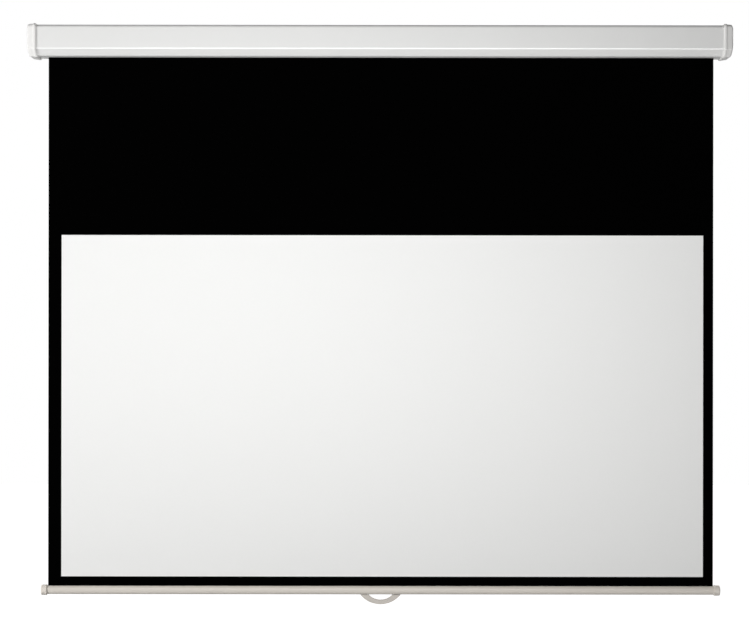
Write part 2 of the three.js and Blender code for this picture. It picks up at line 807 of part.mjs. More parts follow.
function screenFabric() {
  const half = fabricThickness / 2;
  const bend = Math.asin(half / hemRadius);
  const hemZ = barZ + hemRise;
  const outline = new THREE.Shape([
    point(-half, rollerZ),
    ...arc(0, hemZ, hemRadius, Math.PI / 2 + bend, 5 * Math.PI / 2 - bend, roundSides),
    point(half, rollerZ),
  ]);
  const pocketRadius = hemRodRadius + seatGap;
  const pocket = arc(0, hemZ, pocketRadius, 2 * Math.PI, 2 * Math.PI / smallSides, smallSides - 1);
  outline.holes.push(new THREE.Path(pocket));
  return alongX(outline, rollerShift - fabricWidth / 2, rollerShift + fabricWidth / 2, fabricY);
}

function weightBar() {
  const outerEdge = Math.asin(barSlotWidth / 2 / barRadius);
  const innerEdge = Math.asin(barSlotWidth / 2 / barInner);
  const up = Math.PI / 2;
  const section = new THREE.Shape([
    ...arc(0, 0, barRadius, up + outerEdge, up + 2 * Math.PI - outerEdge, roundSides),
    ...arc(0, 0, barInner, up + 2 * Math.PI - innerEdge, up + innerEdge, roundSides),
  ]);
  const cuts = [];
  for (const side of [-1, 1]) {
    const middle = side * tabOffset;
    const reach = tabWidth / 2 + tabSlotEase;
    cuts.push(box(middle - reach, -tabSlotHalf, -barRadius - overrun,
      middle + reach, tabSlotHalf, -Math.sqrt(barInner ** 2 - tabSlotHalf ** 2) + seatGap));
    cuts.push(alongZ(roundShape(screwRadius + screwClearance, smallSides),
      -barRadius - overrun, -barInner + overrun, side * blockScrewX).rotateX(blockScrewTurn));
  }
  return shaped(alongX(section, -barHalf, barHalf), { cuts });
}

function hemRod() {
  return alongX(roundShape(hemRodRadius, smallSides), -fabricWidth / 2 + hemRodInset,
    fabricWidth / 2 - hemRodInset, 0, hemRise);
}

// A sleeve over the end of the bar, with a bead at its mouth and a rounded end
function barCap(side) {
  const mouth = barHalf - barCapGrip;
  const seat = barHalf + seatGap;
  const end = seat + barCapEnd;
  const bore = barRadius + seatGap;
  const bead = barCapRadius + barCapBead;
  const profile = [
    point(0, seat), point(bore, seat), point(bore, mouth), point(bead, mouth),
    point(bead, mouth + barCapBeadWidth), point(barCapRadius, mouth + barCapBeadWidth + barCapBead),
    ...arc(barCapRadius - barCapRound, end - barCapRound, barCapRound, 0, Math.PI / 2, cornerSteps),
    point(0, end),
  ];
  const cap = turnedAlongX(profile);
  return side > 0 ? cap : cap.rotateZ(Math.PI);
}

function handlePin() {
  const end = pinBlockStart + pinGrip;
  return alongX(roundShape(handlePinRadius, smallSides), -end, end, 0, -handlePinDrop);
}

function pinBlock(side) {
  const radius = barInner - seatGap;
  const lift = Math.asin(pinBlockRise / radius);
  const outline = new THREE.Shape(arc(0, 0, radius, Math.PI - lift, 2 * Math.PI + lift, roundSides));
  const inner = side * pinBlockStart;
  const outer = side * (pinBlockStart + pinBlockWidth);
  const socket = alongX(roundShape(handlePinRadius + seatGap, smallSides),
    inner - side * overrun, side * (pinBlockStart + pinGrip + seatGap), 0, -handlePinDrop);
  const pilot = alongZ(roundShape(screwRadius + screwClearance, smallSides), -barRadius - overrun,
    -barRadius + blockScrewLength + screwClearance, side * blockScrewX).rotateX(blockScrewTurn);
  return shaped(alongX(outline, inner, outer), { cuts: [socket, pilot] });
}

// Pull handle: a crescent below the bar, with two tabs that go up into it

function bow(halfChord, depth) {
  const radius = (halfChord ** 2 + depth ** 2) / (2 * depth);
  const half = Math.asin(halfChord / radius);
  const down = -Math.PI / 2;
  return arc(0, radius - depth, radius, down - half, down + half, arcSteps);
}

function crescent() {
  const outline = new THREE.Shape([
    ...bow(handleHalfWidth - handleBevel, handleDepth - handleBevel),
    ...bow(fingerHalfWidth + handleBevel, fingerDepth + handleBevel).reverse(),
  ]);
  const geometry = new THREE.ExtrudeGeometry(outline, {
    depth: handleThickness - 2 * handleBevel,
    bevelSize: handleBevel,
    bevelThickness: handleBevel,
    bevelSegments: 2,
  });
  return geometry.rotateX(Math.PI / 2)
    .translate(0, handleThickness / 2 - handleBevel, -barRadius - handleGap - handleBevel);
}

function pullHandle() {
  const tabs = [-1, 1].flatMap((side) => {
    const middle = side * tabOffset;
    const low = -barRadius - handleGap - tabRoot;
    return [
      box(middle - tabWidth / 2, -tabThickness / 2, low,
        middle + tabWidth / 2, tabThickness / 2, -handlePinDrop),
      alongX(roundShape(handleEyeRadius, smallSides), middle - tabWidth / 2, middle + tabWidth / 2,
        0, -handlePinDrop),
    ];
  });
  const bores = [-1, 1].map((side) => alongX(roundShape(handlePinRadius + seatGap, smallSides),
    side * (tabOffset - tabWidth), side * (tabOffset + tabWidth), 0, -handlePinDrop));
  return shaped(crescent(), { joined: tabs, cuts: bores });
}

// Assembly

function addCase() {
  addPiece(screen, 'housing', housing(), materials.whiteSteel);
  addPiece(screen, 'end_cap_left', ratchetCap(), materials.whiteMoulding);
  addPiece(screen, 'end_cap_right', idleCap(), materials.whiteMoulding);
  addPiece(screen, 'ratchet_bracket', ratchetBracket(), materials.zincSteel);
  const ends = { left: -1, right: 1 };
  for (const [end, side] of Object.entries(ends)) {
    capScrewPlaces().forEach((y, i) => {
      const name = `cap_screw_${end}_${i === 0 ? 'front' : 'back'}`;
      const piece = addPiece(screen, name, screw(capScrewLength), materials.zincSteel);
      piece.rotation.y = -Math.PI / 2;
      piece.position.set(capPlace(side, capScrewReach), y, halfHeight);
    });
  }
  bracketScrewPlaces().forEach((z, i) => {
    const name = `bracket_screw_${i === 0 ? 'lower' : 'upper'}`;
    const piece = addPiece(screen, name, screw(bracketScrewLength), materials.zincSteel);
    piece.position.set(capPlace(-1, -bracketThickness), rollerY, z);
  });
}

function addRoller() {
  addPiece(roller, 'spindle', spindle(), materials.zincSteel);
  addPiece(roller, 'ratchet_wheel', ratchetWheel(), materials.zincSteel);
  addPiece(roller, 'roller_spring', torsionSpring(), materials.springSteel);
  addPiece(roller, 'spring_anchor', springAnchor(), materials.greyNylon);
  addPiece(roller, 'spindle_clip', spindleClip(), materials.springSteel);
  addPiece(roller, 'roller_tube', rollerTube(), materials.aluminium);
  addPiece(roller, 'ratchet_plug', ratchetPlug(), materials.blackNylon);
  addPiece(roller, 'idle_plug', idlePlug(), materials.blackNylon);
  addPiece(roller, 'gudgeon_pin', gudgeonPin(), materials.zincSteel);
  addPiece(roller, 'ratchet_rivet', rivet(rivetPlaces().ratchet), materials.aluminium);
  addPiece(roller, 'idle_rivet', rivet(rivetPlaces().idle), materials.aluminium);
  addPiece(roller, 'fabric_wraps', fabricWraps(), materials.blackFabric);
  pawlTurns.forEach((turn, i) => {
    const end = i === 0 ? 'upper' : 'lower';
    addPiece(roller, `pawl_pin_${end}`, pawlPin(turn), materials.zincSteel);
    addPiece(roller, `pawl_${end}`, pawl(turn), materials.springSteel);
  });
  const bush = addPiece(screen, 'idle_bush', idleBush(), materials.greyNylon);
  bush.position.set(0, rollerY, rollerZ);
}

function addScreen() {
  addPiece(screen, 'screen_fabric', screenFabric(), materials.blackFabric);
  addPiece(bar, 'weight_bar', weightBar(), materials.ivoryMetal);
  addPiece(bar, 'hem_rod', hemRod(), materials.greyNylon);
  addPiece(bar, 'handle_pin', handlePin(), materials.zincSteel);
  addPiece(bar, 'pull_handle', pullHandle(), materials.ivoryMoulding);
  const ends = { left: -1, right: 1 };
  for (const [end, side] of Object.entries(ends)) {
    addPiece(bar, `bar_cap_${end}`, barCap(side), materials.ivoryMoulding);
    addPiece(bar, `pin_block_${end}`, pinBlock(side), materials.greyNylon);
    const piece = addPiece(bar, `block_screw_${end}`, screw(blockScrewLength), materials.zincSteel);
    const seat = barRadius + seatGap;
    piece.rotation.set(blockScrewTurn, Math.PI / 2, 0);
    piece.position.set(side * blockScrewX, seat * Math.sin(blockScrewTurn), -seat * Math.cos(blockScrewTurn));
  }
}

addCase();
addRoller();
addScreen();

export default screen;
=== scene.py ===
# %% [markdown]
# # A pull-down projector screen, dressed for a photograph
#
# The screen hangs from a white steel case. Black cloth with a white picture area comes out of a
# slot under the case, and an ivory weight bar with a pull handle keeps it taut.
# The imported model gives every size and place, so it is loaded first and everything is fitted to it.

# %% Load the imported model
import json
import math
from contextlib import contextmanager

import bmesh
import bpy
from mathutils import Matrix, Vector


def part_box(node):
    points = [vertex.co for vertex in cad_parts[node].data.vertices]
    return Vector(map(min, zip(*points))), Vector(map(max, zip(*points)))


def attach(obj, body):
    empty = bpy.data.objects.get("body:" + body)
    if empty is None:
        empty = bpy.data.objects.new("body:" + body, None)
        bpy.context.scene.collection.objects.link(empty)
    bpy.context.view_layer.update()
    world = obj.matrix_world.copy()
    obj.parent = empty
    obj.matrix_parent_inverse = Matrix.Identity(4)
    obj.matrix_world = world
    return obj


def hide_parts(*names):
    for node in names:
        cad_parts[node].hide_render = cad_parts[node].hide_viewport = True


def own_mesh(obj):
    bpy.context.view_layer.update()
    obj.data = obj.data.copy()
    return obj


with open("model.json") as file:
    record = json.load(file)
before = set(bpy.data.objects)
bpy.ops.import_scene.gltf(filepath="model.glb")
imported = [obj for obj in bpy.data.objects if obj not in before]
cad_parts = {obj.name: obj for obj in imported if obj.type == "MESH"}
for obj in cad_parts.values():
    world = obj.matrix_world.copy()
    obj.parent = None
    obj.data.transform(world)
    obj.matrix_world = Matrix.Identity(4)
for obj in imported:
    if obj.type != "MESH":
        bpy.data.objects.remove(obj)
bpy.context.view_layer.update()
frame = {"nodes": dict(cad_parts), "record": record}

joints = {joint["name"]: joint for joint in frame["record"]["behaviour"]["joints"]}

# %% [markdown]
# ## Tools for the bench
#
# Every piece below is modelled in the same way: a primitive at its size and place, shaped in edit
# mode. An operator acts on all that is selected, so a few helpers select by place and leave nothing
# over. `with` blocks enter and leave edit mode, which keeps each step short.

# %% Take up a piece and name it
MM = 0.001


def activate(piece):
    bpy.ops.object.select_all(action="DESELECT")
    piece.select_set(True)
    bpy.context.view_layer.objects.active = piece


def named(name):
    """Names the primitive that was just added, and puts its place into its mesh."""
    piece = bpy.context.object
    piece.name = piece.data.name = name
    activate(piece)
    bpy.ops.object.transform_apply(location=True, rotation=True, scale=True)
    return piece


# %% Select by place in edit mode
TOUCH = 0.00002


def near(a, b):
    return abs(a - b) < TOUCH


def pick_all():
    bpy.ops.mesh.select_all(action="SELECT")


def pick_none():
    bpy.ops.mesh.select_all(action="DESELECT")


@contextmanager
def editing(piece):
    activate(piece)
    bpy.ops.object.mode_set(mode="EDIT")
    yield
    bpy.ops.object.mode_set(mode="OBJECT")


def middle(item):
    if isinstance(item, bmesh.types.BMVert):
        return item.co
    if isinstance(item, bmesh.types.BMEdge):
        return (item.verts[0].co + item.verts[1].co) / 2
    return item.calc_center_median()


def pick(piece, kind, test):
    """Selects the vertices, edges or faces whose middle passes a test."""
    bpy.ops.mesh.select_mode(type=kind)
    pick_none()
    mesh = bmesh.from_edit_mesh(piece.data)
    for item in {"VERT": mesh.verts, "EDGE": mesh.edges, "FACE": mesh.faces}[kind]:
        if test(middle(item)):
            item.select_set(True)
    mesh.select_flush_mode()
    bmesh.update_edit_mesh(piece.data)


# %% Move, draw out and cut what is selected
AXES = {"X": Vector((1, 0, 0)), "Y": Vector((0, 1, 0)), "Z": Vector((0, 0, 1))}


def move(x=0, y=0, z=0):
    bpy.ops.transform.translate(value=(x, y, z))


def extrude(x=0, y=0, z=0):
    bpy.ops.mesh.extrude_region_move(TRANSFORM_OT_translate={"value": (x, y, z)})


def slice_at(axis, place, **settings):
    """Cuts what is selected square to an axis, at a place on it."""
    bpy.ops.mesh.bisect(plane_co=AXES[axis] * place, plane_no=AXES[axis], **settings)


def face_outwards():
    pick_all()
    bpy.ops.mesh.normals_make_consistent(inside=False)


# %% Modifiers and soft shading


def apply(piece, kind, **settings):
    """Adds a modifier with these settings and applies it."""
    activate(piece)
    modifier = piece.modifiers.new(kind.lower(), kind)
    for key, value in settings.items():
        setattr(modifier, key, value)
    bpy.ops.object.modifier_apply(modifier=modifier.name)


def combine(piece, tool, operation="DIFFERENCE"):
    """Cuts another solid from a piece, or joins it, and puts the other one away."""
    apply(piece, "BOOLEAN", object=tool, operation=operation, solver="EXACT")
    bpy.data.objects.remove(tool)


def smooth(piece, degrees=30):
    """Soft shading on the rounds and flat shading on the flats beside them."""
    activate(piece)
    bpy.ops.object.shade_smooth_by_angle(angle=math.radians(degrees))
    apply(piece, "WEIGHTED_NORMAL", keep_sharp=True)
    print(piece.name, len(piece.data.polygons), "faces")


# %% Blocks and rods between two points
TURNS = {"X": (0, math.pi / 2, 0), "Y": (math.pi / 2, 0, 0), "Z": (0, 0, 0)}


def block(name, low, high):
    low, high = Vector(low), Vector(high)
    bpy.ops.mesh.primitive_cube_add(size=1, location=(low + high) / 2, scale=high - low)
    return named(name)


def rod(name, radius, low, high, sides=48, ends="NGON"):
    """A cylinder between two points that differ along one axis only."""
    low, high = Vector(low), Vector(high)
    run = high - low
    axis = "XYZ"[max(range(3), key=lambda i: abs(run[i]))]
    bpy.ops.mesh.primitive_cylinder_add(
        vertices=sides, radius=radius, depth=run.length, end_fill_type=ends,
        location=(low + high) / 2, rotation=TURNS[axis])
    return named(name)


# %% [markdown]
# ## Camera
#
# The photograph looks along +Y from about four metres, level with the middle of the screen, so the
# case shows a sliver of its underside. The camera comes first because all else is judged from it.
# Its lens follows from the picture's width and the scale of 2.332 mm per pixel at the cloth, and
# the very small roll from the slope of the case's edges.

# %% Place the camera
PHOTO_WIDTH = 750
PIXEL = 2.332 * MM
VIEW_DISTANCE = 4.2
VIEW_X = -11 * MM
VIEW_Z = -620.7 * MM
VIEW_ROLL = math.radians(-0.065)
SENSOR = 36
CLOTH_Y = sum(corner.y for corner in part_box("hem_rod")) / 2

bpy.ops.object.camera_add(
    location=(VIEW_X, CLOTH_Y - VIEW_DISTANCE, VIEW_Z), rotation=(math.pi / 2, VIEW_ROLL, 0))
camera = bpy.context.object
camera.data.sensor_width = SENSOR
camera.data.lens = SENSOR * VIEW_DISTANCE / (PHOTO_WIDTH * PIXEL)
bpy.context.scene.camera = camera
print("lens", round(camera.data.lens, 2), "cloth plane", round(CLOTH_Y, 5))

# %% [markdown]
# ## Shader groups
#
# A finish that several materials share is a node group with named inputs, so each material gives it
# its own numbers. Powder coat and moulded skin have the same kind of surface: a fine grain that
# catches light, and wide faint patches in tone. Metal has strokes along its length. Cloth has a
# weave.

# %% A node tree with short calls for what the finishes use


class Tree:
    def __init__(self, node_tree):
        self.tree = node_tree

    def feed(self, node, inputs):
        """Sets a node's inputs, each to a number or a colour, or links it to another's output."""
        for key, value in inputs.items():
            if isinstance(value, bpy.types.NodeSocket):
                self.tree.links.new(value, node.inputs[key])
            else:
                node.inputs[key].default_value = value
        return node

    def add(self, kind, inputs=None, **settings):
        node = self.tree.nodes.new(kind)
        for key, value in settings.items():
            setattr(node, key, value)
        return self.feed(node, inputs or {})

    def place(self, kind="Object"):
        return self.add("ShaderNodeTexCoord").outputs[kind]

    def noise(self, place, scale, detail, roughness=0.5):
        return self.add("ShaderNodeTexNoise", {
            "Vector": place, "Scale": scale, "Detail": detail,
            "Roughness": roughness}).outputs["Fac"]

    def calculate(self, operation, *values):
        return self.add("ShaderNodeMath", dict(enumerate(values)), operation=operation).outputs[0]

    def ranged(self, value, low, high, to_low=0, to_high=1):
        return self.add("ShaderNodeMapRange", {
            "Value": value, "From Min": low, "From Max": high,
            "To Min": to_low, "To Max": to_high}).outputs["Result"]

    def mix(self, factor, first, second):
        return self.add("ShaderNodeMix", {"Factor": factor, "A": first, "B": second},
                        data_type="RGBA").outputs["Result"]


# %% An empty shader group
FLOAT = "NodeSocketFloat"


def new_group(name, inputs, outputs):
    """A group with float inputs and their defaults, and float outputs."""
    group = bpy.data.node_groups.new(name, "ShaderNodeTree")
    for label, default in inputs.items():
        socket = group.interface.new_socket(label, in_out="INPUT", socket_type=FLOAT)
        socket.default_value = default
    for label in outputs:
        group.interface.new_socket(label, in_out="OUTPUT", socket_type=FLOAT)
    tree = Tree(group)
    return group, tree, tree.add("NodeGroupInput").outputs, tree.add("NodeGroupOutput")


# %% Skin: a fine grain and wide faint patches
PATCH_RANGE = (0.3, 0.7)
skin_group, tree, given, result = new_group(
    "Coated Skin", {"Grain Scale": 900, "Patch Scale": 5}, ("Grain", "Patches"))
place = tree.place()
patches = tree.noise(place, given["Patch Scale"], detail=4, roughness=0.6)
tree.feed(result, {
    "Grain": tree.noise(place, given["Grain Scale"], detail=3, roughness=0.55),
    "Patches": tree.ranged(patches, *PATCH_RANGE)})

# %% Bend line: a soft stripe along X over a bend, the mask of a painted highlight on the case
LINE_CORE = 0.4
line_group, tree, given, result = new_group(
    "Bend Line", {"Line Y": 0, "Line Z": 0, "Line Width": 0.002}, ("Line",))
split = tree.add("ShaderNodeSeparateXYZ", {"Vector": tree.place()})
flat = tree.add("ShaderNodeCombineXYZ", {"Y": split.outputs["Y"], "Z": split.outputs["Z"]})
line = tree.add("ShaderNodeCombineXYZ", {"Y": given["Line Y"], "Z": given["Line Z"]})
away = tree.add("ShaderNodeVectorMath", {0: flat.outputs["Vector"], 1: line.outputs["Vector"]},
                operation="DISTANCE")
share = tree.calculate("DIVIDE", away.outputs["Value"], given["Line Width"])
tree.feed(result, {"Line": tree.ranged(share, LINE_CORE, 1, 1, 0)})

# %% Strokes: drawn metal, streaked along X
STAIN_RANGE = (0.35, 0.65)
stroke_group, tree, given, result = new_group(
    "Drawn Metal", {"Stroke Scale": 60, "Fineness": 40}, ("Strokes", "Stains"))
place = tree.place()
stretch = tree.add("ShaderNodeCombineXYZ", {
    "X": 1, "Y": given["Fineness"], "Z": given["Fineness"]})
drawn = tree.add("ShaderNodeVectorMath", {0: place, 1: stretch.outputs["Vector"]},
                 operation="MULTIPLY")
stains = tree.noise(place, given["Stroke Scale"], detail=3)
tree.feed(result, {
    "Strokes": tree.noise(drawn.outputs["Vector"], given["Stroke Scale"], detail=5),
    "Stains": tree.ranged(stains, *STAIN_RANGE)})

# %% Weave: threads over and under each other, laid out on the flat cloth
SLUB_SCALE = 0.02
weave_group, tree, given, result = new_group(
    "Cloth Weave", {"Threads Across": 2000, "Threads Down": 1600}, ("Weave", "Slubs"))
split = tree.add("ShaderNodeSeparateXYZ", {"Vector": tree.place("UV")})
across = tree.calculate("MULTIPLY", split.outputs["X"], given["Threads Across"])
down = tree.calculate("MULTIPLY", split.outputs["Y"], given["Threads Down"])
crossing = tree.calculate("MULTIPLY", tree.calculate("SINE", across), tree.calculate("SINE", down))
slub_place = tree.add("ShaderNodeCombineXYZ", {"X": across, "Y": down})
tree.feed(result, {
    "Weave": tree.ranged(crossing, -1, 1),
    "Slubs": tree.noise(slub_place.outputs["Vector"], SLUB_SCALE, detail=4)})
print("shader groups", [group.name for group in bpy.data.node_groups])

# %% [markdown]
# ## Materials
#
# The shader stays in the material, and what is the same all over the surface is set on its own
# sockets. The groups only vary the tone, the roughness and the height. Grey values come from the
# photograph's tones: a cool white case, a warm ivory bar, a black that reflects next to nothing,
# and matt white. The pull handle is a little darker than the caps of the bar, so it has a finish of
# its own.

# %% Build one material from a group and its numbers
finishes = {}


def shade(name, tone, group, numbers, masks, contrast, roughness, bump=0.1, bump_height=0.00003,
          metallic=0.0, specular=0.5):
    """masks are the group's outputs for the tone and for the height."""
    material = finishes[name] = bpy.data.materials.new(name)
    material.use_nodes = True
    material.diffuse_color = (*tone, 1)
    tree = Tree(material.node_tree)
    finish = tree.add("ShaderNodeGroup", numbers, node_tree=group)
    tone_mask, height_mask = (finish.outputs[label] for label in masks)
    darker = [channel * (1 - contrast) for channel in tone]
    relief = tree.add("ShaderNodeBump", {
        "Height": height_mask, "Strength": bump, "Distance": bump_height})
    tree.feed(material.node_tree.nodes["Principled BSDF"], {
        "Metallic": metallic, "Specular IOR Level": specular,
        "Base Color": tree.mix(tone_mask, (*tone, 1), (*darker, 1)),
        "Roughness": tree.ranged(tone_mask, 0, 1, *roughness), "Normal": relief.outputs["Normal"]})


def coated(name, tone, grain=900, patches=4, **settings):
    shade(name, tone, skin_group, {"Grain Scale": grain, "Patch Scale": patches},
          ("Patches", "Grain"), **settings)


def drawn_metal(name, tone, scale=60, fineness=40, **settings):
    shade(name, tone, stroke_group, {"Stroke Scale": scale, "Fineness": fineness},
          ("Stains", "Strokes"), metallic=1.0, **settings)


# %% Coats, mouldings and metals
coated("white_steel", (0.77, 0.77, 0.76), contrast=0.02, roughness=(0.3, 0.36), bump=0.25)
coated("white_moulding", (0.785, 0.78, 0.765), grain=1500, contrast=0.02, roughness=(0.48, 0.58),
       bump=0.15, specular=0.3)
coated("ivory_metal", (0.68, 0.635, 0.575), contrast=0.03, roughness=(0.32, 0.4), bump=0.2)
for name, tone in (("ivory_moulding", (0.75, 0.7, 0.64)),
                   ("handle_moulding", (0.61, 0.57, 0.525))):
    coated(name, tone, grain=1500, contrast=0.03, roughness=(0.3, 0.38), bump=0.15)
drawn_metal("zinc_steel", (0.62, 0.63, 0.64), contrast=0.15, roughness=(0.28, 0.42))
drawn_metal("spring_steel", (0.3, 0.31, 0.33), contrast=0.2, roughness=(0.3, 0.45))
drawn_metal("aluminium", (0.72, 0.73, 0.74), contrast=0.08, roughness=(0.32, 0.42))
coated("grey_nylon", (0.16, 0.17, 0.18), grain=1200, contrast=0.1, roughness=(0.45, 0.6))
coated("black_nylon", (0.03, 0.03, 0.032), grain=1200, contrast=0.2, roughness=(0.45, 0.6))

# %% Black and white cloth, with threads of their real size
cloth_low, cloth_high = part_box("screen_fabric")
CLOTH_WIDTH = cloth_high.x - cloth_low.x
CLOTH_DROP = cloth_high.z - cloth_low.z
THREAD = 0.7 * MM
threads = {"Threads Across": 2 * math.pi * CLOTH_WIDTH / THREAD,
           "Threads Down": 2 * math.pi * CLOTH_DROP / THREAD}


def cloth(name, tone, **settings):
    shade(name, tone, weave_group, threads, ("Slubs", "Weave"), **settings)


cloth("screen_black", (0.0007, 0.0007, 0.0007), contrast=0.4, roughness=(0.85, 0.95), bump=0.5,
      bump_height=0.00008, specular=0.0)
cloth("screen_white", (0.82, 0.82, 0.81), contrast=0.02, roughness=(0.9, 1.0), bump=0.4,
      bump_height=0.00006, specular=0.1)

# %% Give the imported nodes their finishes


def dress(piece, slot, finish=None):
    """Gives a new piece one of the finishes: the one named, or else the one of the record's slot."""
    piece.data.materials.append(finishes[finish or slot])


for sub in frame["record"]["subparts"]:
    frame["nodes"][sub["node"]].material_slots[0].material = finishes[sub["material_slot"]]
print("finishes", len(finishes))

# %% [markdown]
# ## Case
#
# The case is one rolled sheet of steel, 1.4 mm thick, open along a slot underneath. It could be an
# extruded outline, but a sheet-metal worker thinks in flats and bends, and so does this step: a box
# with its front corner pushed in for the chamfer, its ends and slot taken out, its lips turned up,
# and each long edge bent round with its own bevel. Solidify then gives the sheet its thickness.

# %% Sizes of the case, from the frame and the bends
case_low, case_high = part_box("housing")
SHEET_STEEL = 1.4 * MM
CHAMFER_HEIGHT = 14.5 * MM
CHAMFER_DEPTH = 22 * MM
SLOT_WIDTH = 18 * MM
LIP_HEIGHT = 5 * MM
TOP_BEND = 8 * MM
BACK_BEND = 4 * MM
CREASE_BEND = 4 * MM
FOOT_BEND = 6 * MM
LIP_BEND = 2 * MM
BEND_STEPS = 8
crease_z = case_low.z + CHAMFER_HEIGHT
foot_y = case_low.y + CHAMFER_DEPTH
slot_front = CLOTH_Y - SLOT_WIDTH / 2
slot_back = CLOTH_Y + SLOT_WIDTH / 2
chamfer_lean = math.atan(CHAMFER_DEPTH / CHAMFER_HEIGHT)
print("case", [round(size / MM, 1) for size in case_high - case_low], "mm")

# %% Shape the case


def bend_offset(radius, turn):
    """How far from the corner a bend begins, where the flats turn by this angle."""
    return radius * math.tan(turn / 2)


def bend(piece, y, z, radius, turn=math.pi / 2):
    """Rounds the long edge at this place."""
    pick(piece, "EDGE", lambda m: near(m.y, y) and near(m.z, z))
    bpy.ops.mesh.bevel(offset=bend_offset(radius, turn), segments=BEND_STEPS, affect="EDGES")


case = block("case_shell", case_low, case_high)
with editing(case):
    pick(case, "FACE", lambda m: near(m.y, case_low.y))
    slice_at("Z", crease_z)
    pick(case, "VERT", lambda m: near(m.y, case_low.y) and near(m.z, case_low.z))
    move(y=CHAMFER_DEPTH)
    for slot_edge in (slot_front, slot_back):
        pick(case, "FACE", lambda m: near(m.z, case_low.z))
        slice_at("Y", slot_edge)
    pick(case, "FACE", lambda m: near(abs(m.x), case_high.x))
    bpy.ops.mesh.delete(type="FACE")
    pick(case, "FACE", lambda m: near(m.z, case_low.z) and slot_front < m.y < slot_back)
    bpy.ops.mesh.delete(type="FACE")
    for slot_edge in (slot_front, slot_back):
        pick(case, "EDGE",
             lambda m: near(m.y, slot_edge) and near(m.z, case_low.z) and near(m.x, 0))
        extrude(z=LIP_HEIGHT)
    bend(case, case_low.y, case_high.z, TOP_BEND)
    bend(case, case_high.y, case_high.z, BACK_BEND)
    bend(case, case_high.y, case_low.z, BACK_BEND)
    bend(case, case_low.y, crease_z, CREASE_BEND, chamfer_lean)
    bend(case, foot_y, case_low.z, FOOT_BEND, math.pi / 2 - chamfer_lean)
    bend(case, slot_front, case_low.z, LIP_BEND)
    bend(case, slot_back, case_low.z, LIP_BEND)
apply(case, "SOLIDIFY", thickness=SHEET_STEEL, offset=-1, use_even_offset=True)
smooth(case)

# %% [markdown]
# ## The bright line along the crease, a painted highlight
#
# In the photograph a thin bright line runs along the bend over the chamfer. Light alone draws a
# faint one on the round, because the coat there is smooth. So a copy of the case's finish carries
# a painted highlight on that line only, from the bend line's mask: the colour is lightened to near
# white there and the coat is made glossier. This is cheaper than a second strip of geometry and
# stays put.

# %% Finish the case with a painted highlight along its crease
# The near-white colour of the painted highlight along the crease
CREASE_HIGHLIGHT_TONE = (0.97, 0.97, 0.965, 1)
bent_steel = finishes["bent_steel"] = finishes["white_steel"].copy()
bent_steel.name = "bent_steel"
surface = bent_steel.node_tree.nodes["Principled BSDF"]
plain_tone = surface.inputs["Base Color"].links[0].from_socket
tree = Tree(bent_steel.node_tree)
line = tree.add("ShaderNodeGroup", {
    "Line Y": case_low.y, "Line Z": crease_z, "Line Width": CREASE_BEND / 2},
    node_tree=line_group).outputs["Line"]
# Painted highlight: on the line the colour is mixed towards near white and the coat is made glossy
tree.feed(surface, {
    "Base Color": tree.mix(line, plain_tone, CREASE_HIGHLIGHT_TONE), "Coat Weight": line,
    "Coat Roughness": 0.12, "Coat IOR": 1.8})
dress(case, "white_steel", "bent_steel")
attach(case, "case")
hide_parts("housing")
bend_degrees = round(math.degrees(chamfer_lean), 1)
print("crease at", round(crease_z / MM, 1), "mm, bent through", bend_degrees, "degrees")

# %% [markdown]
# ## End caps
#
# Each cap is a moulded shell. A half-round rim covers the cut edge of the steel. Beyond it the body
# stands 2 mm proud of the case, tapers a little, so that it leaves its mould, and is rounded over
# at the outer end. It is drawn out section by section: the case's outline is made once as a face,
# and each extrude is followed by a small move of its five corners, so that the bends keep their
# radius, as they do on the real moulding. Its hollow and the mouth that takes the steel are drawn
# out in the same way and cut from it.

# %% The case's section as five corners that can move inwards
CORNER_BENDS = [BACK_BEND, FOOT_BEND, CREASE_BEND, TOP_BEND, BACK_BEND]
CORNER_TURNS = [math.pi / 2, math.pi / 2 - chamfer_lean, chamfer_lean, math.pi / 2, math.pi / 2]


def section_corners(bottom=0, chamfer=0, front=0, top=0, back=0):
    """The section's corners as (y, z), with each side moved inwards by its own distance."""
    low, high = case_low.z + bottom, case_high.z - top
    front_y, back_y = case_low.y + front, case_high.y - back
    inward = Vector((CHAMFER_HEIGHT, CHAMFER_DEPTH)).normalized() * chamfer
    base_y, base_z = foot_y + inward.x, case_low.z + inward.y
    slope = -CHAMFER_DEPTH / CHAMFER_HEIGHT
    return [
        Vector((back_y, low)), Vector((base_y + (low - base_z) * slope, low)),
        Vector((front_y, base_z + (front_y - base_y) / slope)), Vector((front_y, high)),
        Vector((back_y, high))]


def section_face(name, x, corners, bends):
    """A flat face in the shape of the section, with its corners bent round."""
    low, high = (Vector([end(places) for places in zip(*corners)]) for end in (min, max))
    centre_z = (low.y + high.y) / 2
    bpy.ops.mesh.primitive_plane_add(
        size=1, location=(x, *((low + high) / 2)), rotation=(0, math.pi / 2, 0))
    piece = named(name)
    with editing(piece):
        pick_all()
        bpy.ops.transform.resize(value=(1, high.x - low.x, high.y - low.y))
        pick(piece, "EDGE", lambda m: near(m.y, low.x))
        bpy.ops.mesh.subdivide(number_cuts=1)
        pick(piece, "VERT", lambda m: near(m.y, low.x) and near(m.z, centre_z))
        move(z=corners[2].y - centre_z)
        pick(piece, "VERT", lambda m: near(m.y, low.x) and near(m.z, low.y))
        move(y=corners[1].x - low.x)
        for corner, radius, turn in zip(corners, bends, CORNER_TURNS):
            pick(piece, "VERT", lambda m: near(m.y, corner.x) and near(m.z, corner.y))
            bpy.ops.mesh.bevel(
                offset=bend_offset(radius, turn), segments=BEND_STEPS, affect="VERTICES")
    return piece


# %% Move the corners of a section


